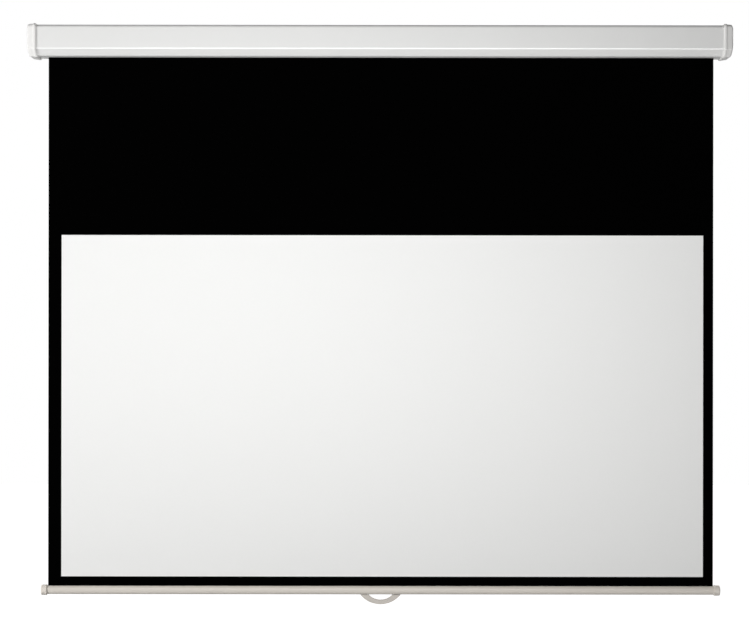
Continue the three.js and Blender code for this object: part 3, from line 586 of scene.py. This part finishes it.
def selected_corners(piece, corners):
    """The numbers of the selected vertices, by the corner that each is nearest to."""
    mesh = bmesh.from_edit_mesh(piece.data)
    mesh.verts.index_update()
    groups = [[] for _ in corners]
    for vertex in mesh.verts:
        if vertex.select:
            place = Vector(vertex.co.yz)
            nearest = min(range(len(corners)), key=lambda k: (place - corners[k]).length)
            groups[nearest].append(vertex.index)
    return groups


def pick_numbers(piece, numbers):
    pick_none()
    mesh = bmesh.from_edit_mesh(piece.data)
    mesh.verts.ensure_lookup_table()
    for number in numbers:
        mesh.verts[number].select_set(True)
    mesh.select_flush_mode()
    bmesh.update_edit_mesh(piece.data)


def shift_corners(piece, old, new):
    """Moves each corner of the selected face from its old place to its new one."""
    groups = selected_corners(piece, old)
    for group, start, end in zip(groups, old, new):
        pick_numbers(piece, group)
        move(0, *(end - start))
    pick_numbers(piece, sum(groups, []))


# %% Draw a solid out along X, section by section


def drawn_out(name, side, path, bends=CORNER_BENDS):
    """A closed solid through a path of sections, each (reach beyond the housing's end, insets)."""
    (last_reach, insets), *rest = path
    corners = section_corners(**insets)
    piece = section_face(name, side * (case_high.x + last_reach), corners, bends)
    with editing(piece):
        bpy.ops.mesh.select_mode(type="VERT")
        pick_all()
        for reach, insets in rest:
            extrude(x=side * (reach - last_reach))
            moved = section_corners(**insets)
            shift_corners(piece, corners, moved)
            last_reach, corners = reach, moved
        face_outwards()
    return piece


# %% The path of a cap: its rim, its body and its rounded end
CAP_LENGTH = 17 * MM
CAP_PROUD = 2 * MM
CAP_TAPER = 1.4 * MM
RIM_WIDTH = 8 * MM
RIM_HEIGHT = 3 * MM
RIM_CENTRE = -1 * MM
RIM_START = math.pi / 6
RIM_STEPS = 10
END_ROUND = 5 * MM
FRONT_ROUND = 4 * MM
END_STEPS = 14
SIDE_ROUNDS = {"bottom": END_ROUND, "chamfer": END_ROUND, "front": FRONT_ROUND, "top": END_ROUND}


def fallen(from_end, radius):
    """How far a rounded edge has fallen at a distance from the cap's end."""
    share = max(radius - from_end, 0) / radius
    return radius * (1 - math.sqrt(1 - share * share))


def rim_path():
    path = []
    for step in range(RIM_STEPS + 1):
        angle = RIM_START + (math.pi - RIM_START) * step / RIM_STEPS
        base = CAP_PROUD if angle > math.pi / 2 else 0
        swell = base + (RIM_HEIGHT - base) * math.sin(angle)
        reach = RIM_CENTRE - math.cos(angle) * RIM_WIDTH / 2
        path.append((reach, dict.fromkeys(SIDE_ROUNDS, -swell)))
    return path


def end_path(end_reach, wall=0.0):
    """The rounded end. The skin, which has no wall, is as proud there as its taper leaves it."""
    body_length = CAP_LENGTH - RIM_CENTRE - RIM_WIDTH / 2
    path = []
    for step in range(END_STEPS + 1):
        from_end = END_ROUND * (1 - math.sin(math.pi / 2 * step / END_STEPS))
        swell = 0 if wall else CAP_PROUD - CAP_TAPER * (1 - from_end / body_length)
        insets = {side: fallen(from_end, radius) + wall - swell
                  for side, radius in SIDE_ROUNDS.items()}
        path.append((end_reach - from_end, {**insets, "back": wall}))
    return path


# %% [markdown]
# ## Keyholes and tongues
#
# A keyhole in the back of each cap hangs the case on a screw in the wall, and three flat tongues
# reach into the steel and keep the cap in line. Blocks and rods do for both, because booleans cut
# them out of the cap or join them to it, and none is left as a piece of its own.

# %% Draw the keyhole and the tongues
CAP_WALL = 3.4 * MM
SEAT_GAP = 0.3 * MM
OVERRUN = 2 * MM
TONGUE_LENGTH = 16 * MM
TONGUE_ROOT = 3 * MM
TONGUE_THICKNESS = 2 * MM
TOP_TONGUE_HALF = 23 * MM
BACK_TONGUE_HALF = 20 * MM
BOTTOM_TONGUE_HALF = 8 * MM
KEYHOLE_RADIUS = 4.5 * MM
KEYHOLE_NECK = 2.3 * MM
KEYHOLE_RISE = 9 * MM


def keyhole_cuts(side):
    x = side * (case_high.x + (CAP_LENGTH - CAP_WALL) / 2)
    back, front = case_high.y + OVERRUN, case_high.y - CAP_WALL - OVERRUN
    return [
        rod("keyhole_head", KEYHOLE_RADIUS, (x, front, 0), (x, back, 0)),
        block("keyhole_slot", (x - KEYHOLE_NECK, front, 0), (x + KEYHOLE_NECK, back, KEYHOLE_RISE)),
        rod("keyhole_top", KEYHOLE_NECK, (x, front, KEYHOLE_RISE), (x, back, KEYHOLE_RISE))]


def tongues(side):
    """Three tongues, inside the top, the back and the bottom."""
    root, tip = sorted(side * (case_high.x + reach) for reach in (TONGUE_ROOT, -TONGUE_LENGTH))
    near_wall = SHEET_STEEL + SEAT_GAP
    far_wall = near_wall + TONGUE_THICKNESS
    top_y = (case_low.y + case_high.y + TOP_BEND - BACK_BEND) / 2
    bottom_y = (foot_y + slot_front - SHEET_STEEL) / 2
    return [
        block("top_tongue", (root, top_y - TOP_TONGUE_HALF, case_high.z - far_wall),
              (tip, top_y + TOP_TONGUE_HALF, case_high.z - near_wall)),
        block("back_tongue", (root, case_high.y - far_wall, -BACK_TONGUE_HALF),
              (tip, case_high.y - near_wall, BACK_TONGUE_HALF)),
        block("bottom_tongue", (root, bottom_y - BOTTOM_TONGUE_HALF, case_low.z + near_wall),
              (tip, bottom_y + BOTTOM_TONGUE_HALF, case_low.z + far_wall))]


# %% One whole cap


def end_cap(word, side, joined, cuts):
    cap = drawn_out(f"{word}_cap", side, rim_path() + end_path(CAP_LENGTH))
    wall = dict.fromkeys((*SIDE_ROUNDS, "back"), CAP_WALL)
    inner_bends = [max(radius - CAP_WALL, SHEET_STEEL / 2) for radius in CORNER_BENDS]
    inner_path = [(-OVERRUN, wall)] + end_path(CAP_LENGTH - CAP_WALL, CAP_WALL)
    combine(cap, drawn_out("hollow", side, inner_path, inner_bends))
    grown = {**dict.fromkeys(SIDE_ROUNDS, -SEAT_GAP), "back": -OVERRUN}
    combine(cap, drawn_out("mouth", side, [(-RIM_WIDTH, grown), (0, grown)]))
    for solid in (*tongues(side), *joined):
        combine(cap, solid, "UNION")
    for cutter in (*keyhole_cuts(side), *cap_screw_holes(word), *cuts):
        combine(cap, cutter)
    smooth(cap, 35)
    dress(cap, "white_moulding")
    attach(cap, "case")
    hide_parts(f"end_cap_{word}")


# %% [markdown]
# ## What each cap holds
#
# The left cap carries two bosses for the screws of the ratchet's steel plate, and the right one a
# socket for the nylon bush that the roller's pin turns in. Both have holes for the self-tapping
# screws that go down through the steel into the top tongue. The frame's screws and bush say where
# all of these are.

# %% Holes, bosses and sockets at the places of the frame's screws and bush
SCREW_RADIUS = 1.5 * MM
SCREW_CLEARANCE = 0.3 * MM
HOLE_SIDES = 24
CAP_SCREW_LENGTH = 7 * MM
BRACKET_SCREW_LENGTH = 10 * MM
screw_hole_radius = SCREW_RADIUS + SCREW_CLEARANCE


def centre(node):
    low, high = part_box(node)
    return (low + high) / 2


def cap_screw_holes(word):
    for end in ("front", "back"):
        place = centre(f"cap_screw_{word}_{end}")
        yield rod("screw_hole", screw_hole_radius,
                  (place.x, place.y, case_high.z - SHEET_STEEL - CAP_SCREW_LENGTH - OVERRUN),
                  (place.x, place.y, case_high.z + OVERRUN), HOLE_SIDES)


def along_cap(name, radius, side, start, end, place, sides=48):
    """A rod along X between two reaches beyond the housing's end, at another node's Y and Z."""
    first, last = (side * (case_high.x + reach) for reach in (start, end))
    return rod(name, radius, (first, place.y, place.z), (last, place.y, place.z), sides)


# %% Make both caps
BOSS_RADIUS = 4 * MM
IDLE_BOSS_RADIUS = 10 * MM
IDLE_BOSS_SETBACK = 2 * MM
BUSH_RADIUS = 7 * MM
boss_root = CAP_LENGTH - CAP_WALL / 2
bracket_screws = [centre("bracket_screw_lower"), centre("bracket_screw_upper")]
end_cap("left", -1,
        joined=[along_cap("boss", BOSS_RADIUS, -1, 0, boss_root, place)
                for place in bracket_screws],
        cuts=[along_cap("pilot", screw_hole_radius, -1, -OVERRUN, BRACKET_SCREW_LENGTH - OVERRUN,
                        place, HOLE_SIDES) for place in bracket_screws])
bush_low, bush_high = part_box("idle_bush")
bush = centre("idle_bush")
idle_boss_start = bush_low.x + IDLE_BOSS_SETBACK - case_high.x
end_cap("right", 1,
        joined=[along_cap("boss", IDLE_BOSS_RADIUS, 1, idle_boss_start, boss_root, bush)],
        cuts=[along_cap("socket", BUSH_RADIUS + SEAT_GAP, 1, idle_boss_start - OVERRUN,
                        bush_high.x - case_high.x + SEAT_GAP, bush)])

# %% [markdown]
# ## Cloth
#
# The screen is one sheet of coated cloth, black with a white picture area on its front. It hangs
# from the back of the roll, and a hem round a rod at its foot sits in the weight bar. A grid is the
# natural start: two cuts each way mark the picture area, and the hem is drawn from the bottom edge
# round the rod. The cloth is cut at the picture's lower edge, so that what is below can travel with
# the bar.

# %% Draw the sheet and its hem
PICTURE_LEFT = -741.9 * MM
PICTURE_RIGHT = 754.1 * MM
PICTURE_TOP = -447.7 * MM
PICTURE_BOTTOM = -1243.6 * MM
CLOTH_THICKNESS = 0.45 * MM
COLUMNS = 62
ROWS = 50
POCKET_RADIUS = 3.02 * MM
POCKET_STEPS = 24
POCKET_SHARE = 0.96
cloth_x = (cloth_low.x + cloth_high.x) / 2
rod_z = centre("hem_rod").z
sheet_foot = rod_z + POCKET_RADIUS
sheet_height = cloth_high.z - sheet_foot


def draw_edge(points):
    """Extrudes the selected edges along a path of (y, z) in the YZ plane."""
    for (last_y, last_z), (y, z) in zip(points, points[1:]):
        extrude(0, y - last_y, z - last_z)


pocket = []
for step in range(POCKET_STEPS + 1):
    turn = 2 * math.pi * POCKET_SHARE * step / POCKET_STEPS
    pocket.append((POCKET_RADIUS * math.sin(turn), rod_z + POCKET_RADIUS * math.cos(turn)))

bpy.ops.mesh.primitive_grid_add(
    x_subdivisions=COLUMNS, y_subdivisions=ROWS, size=1, rotation=(math.pi / 2, 0, 0),
    location=(cloth_x, CLOTH_Y, (cloth_high.z + sheet_foot) / 2))
sheet = named("cloth_sheet")
with editing(sheet):
    pick_all()
    bpy.ops.transform.resize(value=(CLOTH_WIDTH, 1, sheet_height))
    for axis, edge in (("X", PICTURE_LEFT), ("X", PICTURE_RIGHT),
                       ("Z", PICTURE_TOP), ("Z", PICTURE_BOTTOM)):
        pick_all()
        slice_at(axis, edge)
    pick(sheet, "EDGE", lambda m: near(m.z, sheet_foot))
    draw_edge(pocket)
    pick_all()
    bpy.ops.uv.unwrap(method="ANGLE_BASED", margin=0)
print("sheet", len(sheet.data.polygons), "faces")

# %% [markdown]
# ## The slight waves of hanging cloth
#
# Cloth this wide is never quite flat. It bellies by a fraction of a millimetre, which only shows in
# a low light. Proportional editing is how a hand would do it: a few points are pulled, and what
# lies round them follows softly. A simulation would add nothing here, because the bar pulls the
# sheet straight.

# %% Pull the sheet a little out of its plane, at x and z in metres, by a depth in millimetres
WAVES = [(-0.52, -0.62, 0.5), (-0.12, -0.8, -0.4), (0.3, -0.58, 0.45), (0.62, -0.76, -0.35)]
WAVE_GRIP = 0.03
WAVE_REACH = 0.42
with editing(sheet):
    for x, z, depth in WAVES:
        pick(sheet, "VERT", lambda m: abs(m.x - x) < WAVE_GRIP and abs(m.z - z) < WAVE_GRIP)
        bpy.ops.transform.translate(
            value=(0, depth * MM, 0), use_proportional_edit=True,
            proportional_edit_falloff="SMOOTH", proportional_size=WAVE_REACH)
depths = [(vertex.co.y - CLOTH_Y) / MM for vertex in sheet.data.vertices
          if vertex.co.z > PICTURE_BOTTOM]
print("the sheet leaves its plane by", round(min(depths), 2), "to", round(max(depths), 2), "mm")

# %% Colour the picture area and part the hem from the sheet
SHEET_FINISHES = ("screen_black", "screen_white")
for finish in SHEET_FINISHES:
    sheet.data.materials.append(finishes[finish])


def colour(piece, finish):
    """Gives the selected faces one of the piece's finishes."""
    piece.active_material_index = SHEET_FINISHES.index(finish)
    bpy.ops.object.material_slot_assign()


with editing(sheet):
    pick(sheet, "FACE", lambda m: (PICTURE_LEFT < m.x < PICTURE_RIGHT
                                   and PICTURE_BOTTOM < m.z < PICTURE_TOP))
    colour(sheet, "screen_white")
    pick(sheet, "FACE", lambda m: m.z < PICTURE_BOTTOM)
    bpy.ops.mesh.separate(type="SELECTED")
hem = next(piece for piece in bpy.context.selected_objects if piece != sheet)
hem.name = hem.data.name = "cloth_hem"
for piece in (sheet, hem):
    apply(piece, "SOLIDIFY", thickness=CLOTH_THICKNESS, offset=0)
    smooth(piece)

# %% Blacken the back of the sheet and its edges
FACES_VIEWER = -0.5
with editing(sheet):
    bpy.ops.mesh.select_mode(type="FACE")
    pick_none()
    mesh = bmesh.from_edit_mesh(sheet.data)
    for face in mesh.faces:
        face.select_set(face.normal.y > FACES_VIEWER)
    bmesh.update_edit_mesh(sheet.data)
    colour(sheet, "screen_black")

# %% [markdown]
# ## The turns on the roller
#
# One and a half turns of cloth stay on the roller when the screen is down, so that it never pulls
# on the tape. They are a spiral: the edge of a narrow strip is drawn round, a little nearer the
# roller at each step. It begins where the hanging sheet leaves the roll.

# %% Wind the turns
ROLL_TURNS = 1.5
ROLL_STEPS = 72
ROLL_PITCH = 0.6 * MM
roller_axis = Vector(joints["roller_spin"]["pos_m"])
leaving_radius = CLOTH_Y - roller_axis.y


def roll_point(step):
    share = step / ROLL_STEPS
    radius = leaving_radius - ROLL_TURNS * ROLL_PITCH * share
    angle = 2 * math.pi * ROLL_TURNS * share
    return (roller_axis.y + radius * math.cos(angle), roller_axis.z + radius * math.sin(angle))


spiral = [roll_point(step) for step in range(ROLL_STEPS + 1)]
bpy.ops.mesh.primitive_plane_add(
    size=1, location=(cloth_x, *spiral[0]), rotation=(math.pi / 2, 0, 0))
roll = named("cloth_roll")
with editing(roll):
    pick_all()
    bpy.ops.transform.resize(value=(CLOTH_WIDTH, 1, MM))
    pick(roll, "VERT", lambda m: m.z < spiral[0][1])
    bpy.ops.mesh.delete(type="VERT")
    pick(roll, "EDGE", lambda m: True)
    move(z=-MM / 2)
    draw_edge(spiral)
    pick_all()
    bpy.ops.uv.unwrap(method="ANGLE_BASED", margin=0)
apply(roll, "SOLIDIFY", thickness=CLOTH_THICKNESS, offset=0)
roll.data.materials.append(finishes["screen_black"])
smooth(roll)

# %% Hang the cloth on the frame
hem_girth = 2 * math.pi * POCKET_SHARE * POCKET_RADIUS
roll_length = 2 * math.pi * ROLL_TURNS * (leaving_radius - ROLL_TURNS * ROLL_PITCH / 2)
for piece, slot, body in ((sheet, "screen_white", "case"), (hem, "screen_black", "screen"),
                          (roll, "screen_black", "roller")):
    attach(piece, body)
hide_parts("screen_fabric")
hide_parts("fabric_wraps")
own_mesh(sheet)
cloth_length = sheet_height + hem_girth + roll_length
print("cloth", round(CLOTH_WIDTH, 3), "by", round(cloth_length, 3), "m")

# %% [markdown]
# ## Turned parts
#
# The bar's sleeves and the screws are turned: a disc is drawn out along its axis and widened or
# narrowed at each step, as a lathe's profile would have it. The last step draws it to a point. Spin
# would do as well, but drawing out keeps every ring where it can be selected and measured.

# %% Turn a solid from a profile of (radius, place) along an axis


def turned(name, axis, foot, profile, sides):
    """foot is the place on the axis that the profile's places are measured from."""
    along, foot = AXES[axis], Vector(foot)
    (last_radius, last), *rest = profile
    bpy.ops.mesh.primitive_circle_add(
        vertices=sides, radius=last_radius, fill_type="NGON",
        location=foot + along * last, rotation=TURNS[axis])
    piece = named(name)
    with editing(piece):
        pick_all()
        for radius, place in rest:
            extrude(*(along * (place - last)))
            if radius:
                grow = radius / last_radius
                value = (1, grow, grow) if axis == "X" else (grow, grow, 1)
                bpy.ops.transform.resize(value=value, center_override=foot + along * place)
            else:
                bpy.ops.mesh.merge(type="COLLAPSE")
            last_radius, last = radius, place
        face_outwards()
    return piece


# %% [markdown]
# ## Weight bar
#
# The bar is a painted metal tube with a slot along its top, which the rod in the hem can't pass.
# Two short slots underneath let the handle's tabs in. Each end wears a moulded sleeve with a bead
# at its mouth and a rounded end: in the photograph these are what shows just outside the cloth's
# edges.

# %% Draw the tube and open its slots
bar_low, bar_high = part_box("weight_bar")
BAR_WALL = 1.2 * MM
BAR_SLOT = 3 * MM
TAB_OFFSET = 36.5 * MM
TAB_SLOT_X = 7 * MM
TAB_SLOT_Y = 6 * MM
BAR_RADIUS = (bar_high.y - bar_low.y) / 2
bar_middle = (bar_low + bar_high) / 2
bar_y, bar_z = bar_middle.y, bar_low.z + BAR_RADIUS
bar = rod("bar_tube", BAR_RADIUS, (bar_low.x, bar_y, bar_z), (bar_high.x, bar_y, bar_z),
          sides=96, ends="NOTHING")
with editing(bar):
    for side in (-1, 1):
        pick(bar, "FACE", lambda m: m.z > bar_z)
        slice_at("Y", bar_y + side * BAR_SLOT / 2)
    pick(bar, "FACE", lambda m: m.z > bar_z and abs(m.y - bar_y) < BAR_SLOT / 2)
    bpy.ops.mesh.delete(type="FACE")
apply(bar, "SOLIDIFY", thickness=BAR_WALL, offset=-1, use_even_offset=True)
for side in (-1, 1):
    x = bar_middle.x + side * TAB_OFFSET
    combine(bar, block(
        "tab_slot", (x - TAB_SLOT_X, bar_y - TAB_SLOT_Y, bar_z - BAR_RADIUS - OVERRUN),
        (x + TAB_SLOT_X, bar_y + TAB_SLOT_Y, bar_z)))

# %% Drill it for the screws of the handle's blocks, from behind and below
BLOCK_SCREW_TURN = math.pi / 3
for word in ("left", "right"):
    x = centre(f"block_screw_{word}").x
    hole = rod("screw_hole", screw_hole_radius, (x, 0, -BAR_RADIUS - OVERRUN),
               (x, 0, -BAR_RADIUS + OVERRUN), sides=22)
    hole.rotation_euler.x = BLOCK_SCREW_TURN
    hole.location = (0, bar_y, bar_z)
    combine(bar, named("screw_hole"))
smooth(bar)
dress(bar, "ivory_metal")
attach(bar, "screen")
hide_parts("weight_bar")

# %% Turn the sleeves at its ends
SLEEVE_RADIUS = 12 * MM
SLEEVE_GRIP = 9 * MM
SLEEVE_END = 4 * MM
SLEEVE_ROUND = 2.5 * MM
SLEEVE_CROWN = ((0.5, 0.15 * MM), (0, 0.2 * MM))
SLEEVE_STEPS = 6
BEAD = 0.4 * MM
BEAD_WIDTH = 2 * MM
end = SEAT_GAP + SLEEVE_END
mouth = -SLEEVE_GRIP
half_profile = [
    (BAR_RADIUS + SEAT_GAP, SEAT_GAP), (BAR_RADIUS + SEAT_GAP, mouth), (SLEEVE_RADIUS, mouth),
    (SLEEVE_RADIUS + BEAD, mouth + BEAD), (SLEEVE_RADIUS + BEAD, mouth + BEAD_WIDTH),
    (SLEEVE_RADIUS, mouth + BEAD_WIDTH + BEAD)]
for step in range(SLEEVE_STEPS + 1):
    turn = math.pi / 2 * step / SLEEVE_STEPS
    half_profile.append((SLEEVE_RADIUS - SLEEVE_ROUND * (1 - math.cos(turn)),
                         end - SLEEVE_ROUND * (1 - math.sin(turn))))
half_profile += [(SLEEVE_RADIUS * share, end + rise) for share, rise in SLEEVE_CROWN]
for word, x, side in (("left", bar_low.x, -1), ("right", bar_high.x, 1)):
    profile = [(radius, side * place) for radius, place in half_profile]
    sleeve = turned(f"bar_sleeve_{word}", "X", (x, bar_y, bar_z), profile, sides=72)
    smooth(sleeve, 40)
    dress(sleeve, "ivory_moulding")
    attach(sleeve, "screen")
    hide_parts(f"bar_cap_{word}")

# %% [markdown]
# ## Pull handle
#
# The handle is a moulded crescent under the bar, with a gap for two fingers and two tabs that go up
# into the bar, where a pin lets them swing. The crescent is the part of a disc below a level, with
# a smaller disc taken out: bisect gives the level and a boolean the gap. Its edges are rounded for
# the hand.

# %% Cut the crescent and round its edges
HANDLE_GAP = 0.8 * MM
HANDLE_THICKNESS = 8 * MM
HANDLE_ROUND = 3.8 * MM
HANDLE_EDGE = math.radians(40)
FINGER_HALF = 27.7 * MM
FINGER_DEPTH = 11.8 * MM
handle_low, handle_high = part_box("pull_handle")
handle_top = bar_low.z - HANDLE_GAP
handle_x, handle_y, pin_z = joints["handle_swing"]["pos_m"]


def disc(name, half_chord, depth, thickness, sides):
    """A disc that cuts the handle's top level in this chord and reaches this far below it."""
    radius = (half_chord ** 2 + depth ** 2) / (2 * depth)
    z = handle_top - depth + radius
    return rod(name, radius, (handle_x, handle_y - thickness / 2, z),
               (handle_x, handle_y + thickness / 2, z), sides)


handle = disc("handle_grip", (handle_high.x - handle_low.x) / 2, handle_top - handle_low.z,
              HANDLE_THICKNESS, sides=360)
with editing(handle):
    pick_all()
    slice_at("Z", handle_top, use_fill=True, clear_outer=True)
combine(handle, disc(
    "finger_gap", FINGER_HALF, FINGER_DEPTH, HANDLE_THICKNESS + OVERRUN, sides=240))
apply(handle, "BEVEL", width=HANDLE_ROUND, segments=8, limit_method="ANGLE",
      angle_limit=HANDLE_EDGE)

# %% Add the tabs, their eyes and the pin's bore
TAB_HALF = 6 * MM
TAB_THICKNESS = 4 * MM
TAB_ROOT = 3 * MM
EYE_RADIUS = 4.4 * MM
PIN_RADIUS = 2 * MM
for side in (-1, 1):
    x = handle_x + side * TAB_OFFSET
    low_x, high_x = x - TAB_HALF, x + TAB_HALF
    combine(handle, block("tab", (low_x, handle_y - TAB_THICKNESS / 2, handle_top - TAB_ROOT),
                          (high_x, handle_y + TAB_THICKNESS / 2, pin_z)), "UNION")
    eye = rod("eye", EYE_RADIUS, (low_x, handle_y, pin_z), (high_x, handle_y, pin_z))
    combine(handle, eye, "UNION")
bore_half = TAB_OFFSET + TAB_HALF + OVERRUN
combine(handle, rod("bore", PIN_RADIUS + SEAT_GAP, (handle_x - bore_half, handle_y, pin_z),
                    (handle_x + bore_half, handle_y, pin_z)))
smooth(handle, 25)
dress(handle, "ivory_moulding", "handle_moulding")
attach(handle, "handle")
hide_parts("pull_handle")

# %% [markdown]
# ## Screws
#
# Eight self-tapping screws hold the caps, the ratchet's plate and the handle's blocks. One of each
# length is turned and gets its cross by a boolean. It is then copied to each place with its own
# mesh, turned the way it goes in.

# %% Turn one screw, with its cross
SCREW_TIP = 0.3 * MM
HEAD_RADIUS = 3.2 * MM
HEAD_HEIGHT = 2 * MM
HEAD_STEPS = 8
THREAD_PITCH = 1.1 * MM
THREAD_DEPTH = 0.22 * MM
CROSS_LONG = 1.7 * MM
CROSS_WIDE = 0.45 * MM
CROSS_DEPTH = 1.3 * MM


def screw(name, length):
    """A screw at the origin, with its head's seat at zero and its point down Z."""
    core = SCREW_RADIUS - THREAD_DEPTH
    place = -length + SCREW_RADIUS
    profile = [(SCREW_TIP, -length), (core, place)]
    while place + THREAD_PITCH < 0:
        profile += [(SCREW_RADIUS, place + THREAD_PITCH / 2), (core, place + THREAD_PITCH)]
        place += THREAD_PITCH
    profile.append((core, 0))
    for step in range(HEAD_STEPS):
        turn = math.pi / 2 * step / HEAD_STEPS
        profile.append((HEAD_RADIUS * math.cos(turn), HEAD_HEIGHT * math.sin(turn)))
    piece = turned(name, "Z", (0, 0, 0), profile + [(0, HEAD_HEIGHT)], sides=32)
    floor = HEAD_HEIGHT - CROSS_DEPTH
    for long, wide in ((CROSS_LONG, CROSS_WIDE), (CROSS_WIDE, CROSS_LONG)):
        combine(piece, block("cross", (-long, -wide, floor), (long, wide, HEAD_HEIGHT + OVERRUN)))
    return piece


patterns = {length: screw(f"pattern_{round(length / MM)}", length)
            for length in (CAP_SCREW_LENGTH, BRACKET_SCREW_LENGTH)}
print("screws of", [round(length / MM) for length in patterns], "mm")

# %% Copy it to each place: down into a cap, sideways into a boss, or into the bar from behind
DOWN, SIDEWAYS, FROM_BEHIND = (0, 0, 0), (0, math.pi / 2, 0), (math.pi + BLOCK_SCREW_TURN, 0, 0)
SCREWS = [(f"cap_screw_{word}_{end}", CAP_SCREW_LENGTH, DOWN, "case")
          for word in ("left", "right") for end in ("front", "back")]
SCREWS += [(f"bracket_screw_{word}", BRACKET_SCREW_LENGTH, SIDEWAYS, "case")
           for word in ("lower", "upper")]
SCREWS += [(f"block_screw_{word}", CAP_SCREW_LENGTH, FROM_BEHIND, "screen")
           for word in ("left", "right")]
for node, length, turn, body in SCREWS:
    activate(patterns[length])
    bpy.ops.object.duplicate()
    copy = bpy.context.object
    copy.rotation_euler = turn
    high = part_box(node)[1]
    seat = centre(node)
    if turn == DOWN:
        seat.z = high.z - HEAD_HEIGHT
    elif turn == SIDEWAYS:
        seat.x = high.x - HEAD_HEIGHT
    else:
        out = BAR_RADIUS + SEAT_GAP
        seat.y = bar_y + out * math.sin(BLOCK_SCREW_TURN)
        seat.z = bar_z - out * math.cos(BLOCK_SCREW_TURN)
    copy.location = seat
    named(node.replace("screw", "fixing"))
    smooth(copy)
    dress(copy, "zinc_steel")
    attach(copy, body)
    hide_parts(node)
for pattern in patterns.values():
    bpy.data.objects.remove(pattern)

# %% [markdown]
# ## Roller spring
#
# The spring is one length of round wire, wound in thirty-two curls round the spindle. A small disc
# of the wire's thickness is carried round and along the axis by the Screw modifier, which is what a
# winding machine does. The two open ends are then closed with a face each.

# %% Wind the spring
WIRE_RADIUS = 0.9 * MM
WIRE_SIDES = 10
SPRING_RADIUS = 9 * MM
SPRING_CURLS = 32
CURL_STEPS = 28
spring_low, spring_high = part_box("roller_spring")
spring_pitch = (spring_high.x - spring_low.x - 2 * WIRE_RADIUS) / SPRING_CURLS
bpy.ops.mesh.primitive_circle_add(
    vertices=WIRE_SIDES, radius=WIRE_RADIUS,
    location=(spring_low.x + WIRE_RADIUS, SPRING_RADIUS, 0))
spring = named("wound_spring")
apply(spring, "SCREW", axis="X", steps=CURL_STEPS, render_steps=CURL_STEPS,
      iterations=SPRING_CURLS, screw_offset=spring_pitch, use_normal_calculate=True)
with editing(spring):
    pick_all()
    move(0, roller_axis.y, roller_axis.z)
    pick_none()
    bpy.ops.mesh.select_mode(type="EDGE")
    bpy.ops.mesh.select_non_manifold()
    bpy.ops.mesh.fill_holes(sides=WIRE_SIDES)
    face_outwards()
smooth(spring, 50)
dress(spring, "spring_steel")
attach(spring, "case")
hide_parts("roller_spring")

# %% [markdown]
# ## Floor and light
#
# The photograph is cut out on pure white. Its case is bright at the left and darker at the right,
# its left seam is a thin dark line, and its chamfer is as bright as its front. So two lamps stand
# far to the left, one high and one low, and rake over the front. One in front fills in, and a long
# low one with a narrow beam lifts the chamfer and brightens the crease, where the case's finish
# also carries a painted highlight. A lamp behind is for the other views.

# %% Floor: mid grey as light, white to the camera
FLOOR_Z = -2.2
FLOOR_SIZE = 24
WHITE = (1, 1, 1, 1)
bpy.ops.mesh.primitive_plane_add(size=FLOOR_SIZE, location=(0, 0, FLOOR_Z))
floor = named("floor")
paper = bpy.data.materials.new("paper")
paper.use_nodes = True
tree = Tree(paper.node_tree)
tree.feed(paper.node_tree.nodes["Principled BSDF"], {
    "Base Color": (0.5, 0.5, 0.5, 1), "Roughness": 0.9, "Emission Color": WHITE,
    "Emission Strength": tree.add("ShaderNodeLightPath").outputs["Is Camera Ray"]})
floor.data.materials.append(paper)

# %% World: white behind the screen, softer as light
AMBIENT = 0.11
world = bpy.data.worlds.new("studio")
world.use_nodes = True
bpy.context.scene.world = world
tree = Tree(world.node_tree)
seen = tree.add("ShaderNodeLightPath").outputs["Is Camera Ray"]
tree.feed(world.node_tree.nodes["Background"], {
    "Color": WHITE, "Strength": tree.ranged(seen, 0, 1, AMBIENT, 1)})

# %% Lamps


def lamp(name, place, target, size, energy, spread=180):
    """A rectangular lamp that faces a target; size is (across, up), spread is in degrees."""
    bpy.ops.object.light_add(type="AREA", location=place)
    light = bpy.context.object
    light.name = light.data.name = name
    light.data.shape = "RECTANGLE"
    light.data.size, light.data.size_y = size
    light.data.energy = energy
    light.data.spread = math.radians(spread)
    light.visible_camera = False
    light.rotation_euler = (Vector(target) - Vector(place)).to_track_quat("-Z", "Y").to_euler()


AIM = (0, 0, -0.6)
lamp("left_high", (-3.6, -1.7, -0.3), AIM, size=(0.6, 0.6), energy=88)
lamp("left_low", (-3.6, -1.7, -2.1), AIM, size=(0.6, 0.5), energy=22)
lamp("front", (-0.08, -1.6, -0.4), AIM, size=(1.6, 0.6), energy=15.3)
lamp("front_low", (0.3, -1.6, -2.1), (0, 0, 0), size=(2.4, 0.25), energy=3.2, spread=70)
lamp("back", (3.0, 3.2, 1.2), AIM, size=(1.6, 1.6), energy=160)
scene = bpy.context.scene
scene.view_settings.view_transform = "Standard"
